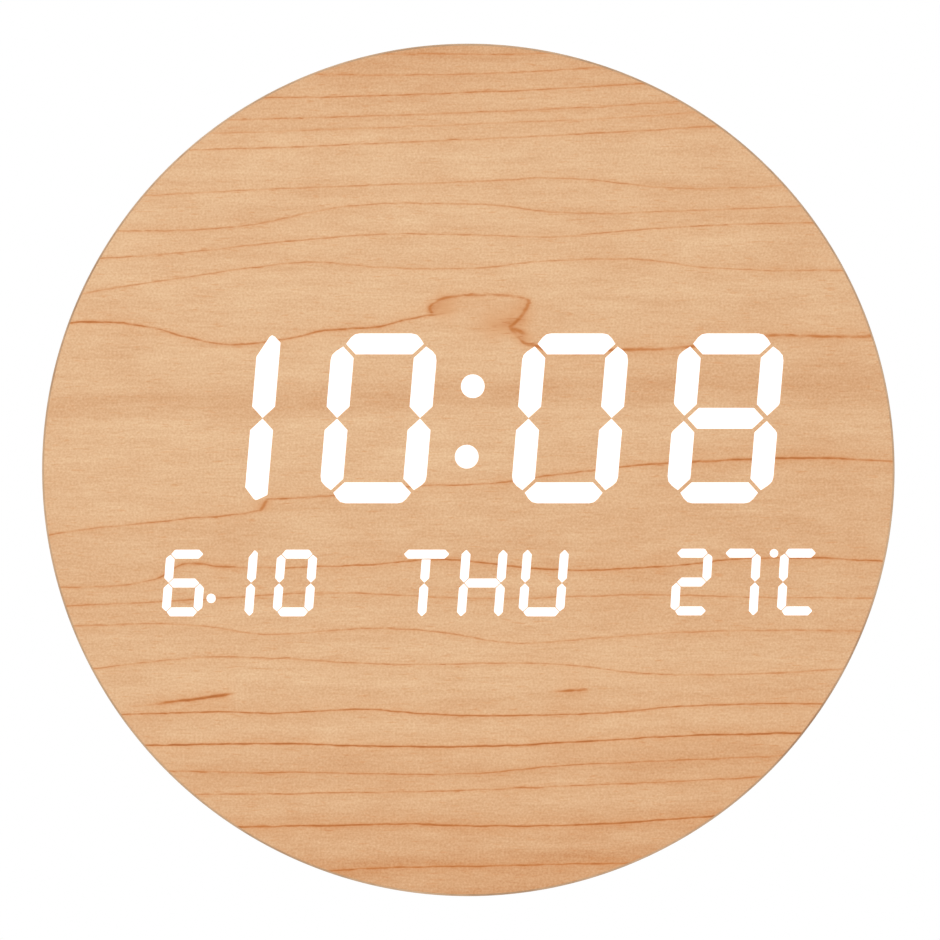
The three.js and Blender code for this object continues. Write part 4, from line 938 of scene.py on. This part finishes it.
# Corners of the coin cell's half section: radius, depth, fillet (mm)
CELL_PROFILE = (
    (0, 0.0, 0),
    (9.0, 0.0, 0.25),
    (9.2, 0.8, 0.2),
    (10.0, 0.8, 0.3),
    (10.0, 3.2, 0.6),
    (8.5, 3.2, 0.1),
    (8.3, 3.08, 0.1),
    (7.9, 3.08, 0.1),
    (7.7, 3.2, 0.1),
    (0, 3.2, 0),
)
cell_low, cell_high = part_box("coin_cell")
cell_path = rounded_path(CELL_PROFILE, steps=CELL_STEPS)
cell = finished("cell_can", turned(cell_path, CELL_SIDES), "cell_steel")
cell.location = ((cell_low.x + cell_high.x) / 2, cell_low.y, (cell_low.z + cell_high.z) / 2)
seat(cell, "case", "cell_steel", "coin_cell")

holder = solid_of("coin_cell_holder")
eased(holder, EASE["holder"], always)
cradle = weighted(finished("cell_cradle", holder, "black_plastic"))
seat(cradle, "case", "black_plastic", "coin_cell_holder")

# Buttons, with sizes in mm and the flange's depths from the wall plane
BUTTON_RADIUS = 4.5
FLANGE_RADIUS = 5.7
STEM_RADIUS = 2.0
FLANGE_BACK = -5.3
FLANGE_FRONT = -6.3
STEM_ROUND = 0.2
FLANGE_ROUND = 0.15
CAP_ROUND = 0.5
CAP_SIDES = 72
CAP_STEPS = 5
# Corners of a cap's dished top: radius, depth from its rim, fillet (mm)
CAP_DISH = ((3.6, 0.0, 0.3), (2.6, -0.28, 0.8), (1.2, -0.38, 0.8), (0, -0.4, 0))
MARK_REACH = 1.9
MARK_HALF = 0.375
MARK_GAP = 0.02
MARK_FLOOR = -0.75
MARK_TOP = -0.1
STUD_RADIUS = 1.05
STUD_ROUND = 0.15
STUD_SIDES = 32


def button_mark(name, strokes):
    """Raised strokes on a cap's dish, or a round stud where there are none."""
    if not strokes:
        corners = (
            (0, MARK_FLOOR, 0),
            (STUD_RADIUS, MARK_FLOOR, 0),
            (STUD_RADIUS, MARK_TOP, STUD_ROUND),
            (0, MARK_TOP, 0),
        )
        return finished(name, turned(rounded_path(corners), STUD_SIDES), "socket_plastic")
    parts = []
    for low_x, low_z, high_x, high_z in strokes:
        part = boxed((low_x, MARK_FLOOR, low_z), (high_x, MARK_TOP, high_z))
        eased(part, EASE["mark"], always)
        parts.append(part)
    return finished(name, joined(parts), "socket_plastic")


# Strokes of the marks: left, lower, right and upper side (mm)
ACROSS = (-MARK_REACH, -MARK_HALF, MARK_REACH, MARK_HALF)
LOWER = (-MARK_HALF, -MARK_REACH, MARK_HALF, -MARK_HALF - MARK_GAP)
UPPER = (-MARK_HALF, MARK_HALF + MARK_GAP, MARK_HALF, MARK_REACH)
MARKS = {"down": (ACROSS,), "set": (), "up": (ACROSS, LOWER, UPPER)}
for use, strokes in MARKS.items():
    low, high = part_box(f"{use}_button")
    top = high.y / MM
    stem_end = low.y / MM
    path = rounded_path(
        (
            (0, stem_end - top, 0),
            (STEM_RADIUS, stem_end - top, STEM_ROUND),
            (STEM_RADIUS, FLANGE_FRONT - top, 0),
            (FLANGE_RADIUS, FLANGE_FRONT - top, FLANGE_ROUND),
            (FLANGE_RADIUS, FLANGE_BACK - top, FLANGE_ROUND),
            (BUTTON_RADIUS, FLANGE_BACK - top, 0),
            (BUTTON_RADIUS, 0.0, CAP_ROUND),
            *CAP_DISH,
        ),
        steps=CAP_STEPS,
    )
    cap = finished(f"{use}_cap", turned(path, CAP_SIDES), "button_plastic")
    cap.location = ((low.x + high.x) / 2, high.y, (low.z + high.z) / 2)
    seat(cap, f"{use}_key", "button_plastic", f"{use}_button")
    mark = button_mark(f"{use}_mark", strokes)
    mark.location = cap.location
    seat(mark, f"{use}_key", "socket_plastic")

# Power inlet
PIN_RADIUS = 1.0
PIN_TIP = 0.5
PIN_ROUND = 0.1
PIN_SIDES = 32
jack = solid_of("power_jack")
eased(jack, EASE["jack"], always)
seat(weighted(finished("jack_body", jack, "black_plastic")), "case", "black_plastic", "power_jack")

pin_low, pin_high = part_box("power_jack_pin")
pin_length = (pin_high.z - pin_low.z) / MM
pin_path = rounded_path(
    ((0, 0.0, 0), (PIN_RADIUS, 0.0, PIN_TIP), (PIN_RADIUS, pin_length, PIN_ROUND), (0, pin_length, 0)),
)
pin = finished("jack_pin", turned(pin_path, PIN_SIDES), "brass_pin")
pin.data.transform(Matrix.Rotation(math.pi / 2, 4, "X"))
pin.location = ((pin_low.x + pin_high.x) / 2, (pin_low.y + pin_high.y) / 2, pin_low.z)
seat(pin, "case", "brass_pin", "power_jack_pin")

# Small parts on the boards
LEG_COUNT = 14
LEG_PITCH = 1.2
LEG_WIDTH = 0.42
LEG_REACH = 1.0
# Bent outline of a chip's leg: out from the body and up from the board (mm)
LEG_OUTLINE = ((0, 1.25), (0.4, 1.25), (0.6, 0.2), (1, 0.2), (1, 0), (0.45, 0), (0.25, 1.05), (0, 1.05))
BODY_LIFT = 0.15
DIMPLE = (0.7, 0.2)
DIMPLE_INSET = 1.6


def corners_of(node):
    """The low and high corner of a CAD node's box (mm)."""
    return [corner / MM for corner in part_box(node)]


def chip(node):
    """A moulded body with a dimple at its first leg, and a row of bent legs along both long sides."""
    low, high = corners_of(node)
    side_low, side_high = low.z + LEG_REACH, high.z - LEG_REACH
    body = boxed((low.x, low.y + BODY_LIFT, side_low), (high.x, high.y, side_high))
    eased(body, EASE["chip"], always)
    radius, depth = DIMPLE
    dimple = turned(((radius, -depth), (radius, CLEAR)), SCREW_SIDES)
    spot = Vector((low.x + DIMPLE_INSET, high.y, side_low + DIMPLE_INSET)) * MM
    bmesh.ops.translate(dimple, verts=dimple.verts, vec=spot)
    cutter = finished("dimple", dimple, "black_plastic")
    piece = carved(finished(f"{node}_body", body, "black_plastic"), cutter)
    seat(weighted(piece), "case", "black_plastic", node)
    legs = bmesh.new()
    first = (low.x + high.x - (LEG_COUNT - 1) * LEG_PITCH - LEG_WIDTH) / 2
    for i in range(LEG_COUNT):
        x = first + i * LEG_PITCH
        for side, sign in ((side_low, -1), (side_high, 1)):
            outline = [(low.y + up, side + sign * out) for out, up in LEG_OUTLINE]
            prism(legs, outline, x, x + LEG_WIDTH)
    seat(finished(f"{node}_legs", legs, "zinc_steel"), "case", "zinc_steel")


CONTACTS = 8
CONTACT_PITCH = 1.5
CONTACT_WIDTH = 0.7
CONTACT_DEPTH = 0.8
CONTACT_DROP = 3.6


def header(node):
    """A socket with a row of contact slots down both long sides."""
    low, high = corners_of(node)
    body = boxed(low, high)
    eased(body, EASE["socket"], always)
    slots = []
    first = (low.x + high.x - (CONTACTS - 1) * CONTACT_PITCH - CONTACT_WIDTH) / 2
    for i in range(CONTACTS):
        x = first + i * CONTACT_PITCH
        for z in (low.z, high.z):
            slots.append(boxed(
                (x, high.y - CONTACT_DROP, z - CONTACT_DEPTH),
                (x + CONTACT_WIDTH, high.y + CLEAR, z + CONTACT_DEPTH),
            ))
    cutter = finished("slots", joined(slots), "socket_plastic")
    piece = carved(finished(f"{node}_body", body, "socket_plastic"), cutter)
    seat(weighted(piece), "case", "socket_plastic", node)


# Corners of round parts' half sections: radius, height, fillet (mm)
CRYSTAL_PROFILE = ((0, 0, 0), (1.5, 0, 0.1), (1.5, 0.4, 0.1), (1.38, 0.5, 0), (1.38, 8, 0.5), (0, 8, 0))
CAPACITOR_PROFILE = (
    (0, 0, 0),
    (4, 0, 0.4),
    (4, 1.1, 0.3),
    (3.6, 1.5, 0.3),
    (4, 1.9, 0.3),
    (4, 9, 0.5),
    (3, 9, 0.1),
    (2.85, 8.8, 0.1),
    (0, 8.8, 0),
)
SENSOR_PROFILE = ((0, 0, 0), (1.2, 0, 0.1), (1.6, 0.7, 0.3), (1.6, 4, 1.1), (0, 4, 0))
CAN_STEPS = 4
SMALL_SIDES = 32
LARGE_SIDES = 64


def can(node, slot, sides, profile, lying=False):
    """A turned part in its CAD node's box, standing on its board or lying along the height."""
    low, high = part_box(node)
    piece = finished(f"{node}_can", turned(rounded_path(profile, steps=CAN_STEPS), sides), slot)
    piece.location = ((low.x + high.x) / 2, low.y, (low.z + high.z) / 2)
    if lying:
        piece.data.transform(Matrix.Rotation(math.pi / 2, 4, "X"))
        piece.location = ((low.x + high.x) / 2, (low.y + high.y) / 2, low.z)
    seat(piece, "case", slot, node)


for node in ("clock_chip", "led_driver_chip"):
    chip(node)
for node in ("control_socket", "display_socket"):
    header(node)
can("quartz_crystal", "zinc_steel", SMALL_SIDES, CRYSTAL_PROFILE, lying=True)
can("supply_capacitor", "black_plastic", LARGE_SIDES, CAPACITOR_PROFILE)
can("temperature_sensor", "black_plastic", SMALL_SIDES, SENSOR_PROFILE)
for use in MARKS:
    switch = solid_of(f"{use}_switch")
    eased(switch, EASE["switch"], always)
    housing = finished(f"{use}_switch_body", switch, "black_plastic")
    seat(weighted(housing), "case", "black_plastic", f"{use}_switch")
    plunger = solid_of(f"{use}_plunger")
    eased(plunger, EASE["plunger"], always)
    stem = finished(f"{use}_plunger_stem", plunger, "socket_plastic")
    seat(weighted(stem), f"{use}_key", "socket_plastic", f"{use}_plunger")


# Stage, light and camera
def surround_strength(tree):
    """Strength of the white surround: 1 where it is seen, also in metal, and less where it lights."""
    path = tree.nodes.new("ShaderNodeLightPath")
    total = path.outputs["Is Camera Ray"]
    for name in ("Is Glossy Ray", "Is Transmission Ray"):
        node = tree.nodes.new("ShaderNodeMath")
        node.operation = "MAXIMUM"
        tree.links.new(total, node.inputs[0])
        tree.links.new(path.outputs[name], node.inputs[1])
        total = node.outputs[0]
    strength = tree.nodes.new("ShaderNodeMapRange")
    tree.links.new(total, strength.inputs["Value"])
    strength.inputs["To Min"].default_value = WORLD_LIGHT
    strength.inputs["To Max"].default_value = 1.0
    return strength.outputs[0]


world = bpy.data.worlds.new("studio")
bpy.context.scene.world = world
world.use_nodes = True
background = world.node_tree.nodes["Background"]
background.inputs["Color"].default_value = WHITE
world.node_tree.links.new(surround_strength(world.node_tree), background.inputs["Strength"])


FLOOR_COLOUR = srgb(238, 238, 236)


def floor_material():
    """Pale near the clock, and one with the white surround further out."""
    material = bpy.data.materials.new("pale_floor")
    material.use_nodes = True
    tree = material.node_tree
    shader = tree.nodes["Principled BSDF"]
    shader.inputs["Base Color"].default_value = FLOOR_COLOUR
    shader.inputs["Roughness"].default_value = FLOOR_ROUGHNESS
    glow = tree.nodes.new("ShaderNodeEmission")
    tree.links.new(surround_strength(tree), glow.inputs["Strength"])
    place = tree.nodes.new("ShaderNodeTexCoord")
    length = tree.nodes.new("ShaderNodeVectorMath")
    length.operation = "LENGTH"
    tree.links.new(place.outputs["Object"], length.inputs[0])
    fade = tree.nodes.new("ShaderNodeMapRange")
    fade.interpolation_type = "SMOOTHSTEP"
    tree.links.new(length.outputs["Value"], fade.inputs["Value"])
    fade.inputs["From Min"].default_value, fade.inputs["From Max"].default_value = FLOOR_FADE
    mix = tree.nodes.new("ShaderNodeMixShader")
    tree.links.new(fade.outputs[0], mix.inputs[0])
    tree.links.new(shader.outputs[0], mix.inputs[1])
    tree.links.new(glow.outputs[0], mix.inputs[2])
    tree.links.new(mix.outputs[0], tree.nodes["Material Output"].inputs["Surface"])
    return material


floor_bm = bmesh.new()
bmesh.ops.create_circle(floor_bm, cap_ends=True, radius=FLOOR_RADIUS, segments=FLOOR_SIDES)
floor_mesh = bpy.data.meshes.new("floor")
floor_bm.to_mesh(floor_mesh)
floor_bm.free()
floor_mesh.materials.append(floor_material())
floor = bpy.data.objects.new("floor", floor_mesh)
floor.location = (0, 0, FLOOR_Z)
bpy.context.scene.collection.objects.link(floor)


def area_light(name, place, power):
    """A square light that faces the clock."""
    light = bpy.data.lights.new(name, "AREA")
    light.shape = "SQUARE"
    light.size = LIGHT_SIZE
    light.energy = power
    lamp = bpy.data.objects.new(name, light)
    lamp.location = place
    lamp.rotation_mode = "QUATERNION"
    lamp.rotation_quaternion = (-Vector(place)).to_track_quat("-Z", "Y")
    bpy.context.scene.collection.objects.link(lamp)


for lamp in LIGHTS:
    area_light(*lamp)

camera_data = bpy.data.cameras.new("camera")
camera_data.lens = LENS
camera_data.sensor_width = SENSOR
camera_data.sensor_fit = "HORIZONTAL"
camera_data.clip_end = CLIP_END
camera = bpy.data.objects.new("camera", camera_data)
frame_width = IMAGE_SIZE * PIXEL * MM
distance = LENS / SENSOR * frame_width
right = (IMAGE_SIZE / 2 - DISC_X) * PIXEL * MM
above = (DISC_Y - IMAGE_SIZE / 2) * PIXEL * MM
camera.location = (right, -CASE_DEPTH * MM - distance, above)
camera.rotation_euler = (math.pi / 2, 0, 0)
bpy.context.scene.collection.objects.link(camera)
bpy.context.scene.camera = camera
bpy.context.scene.view_settings.view_transform = "Standard"
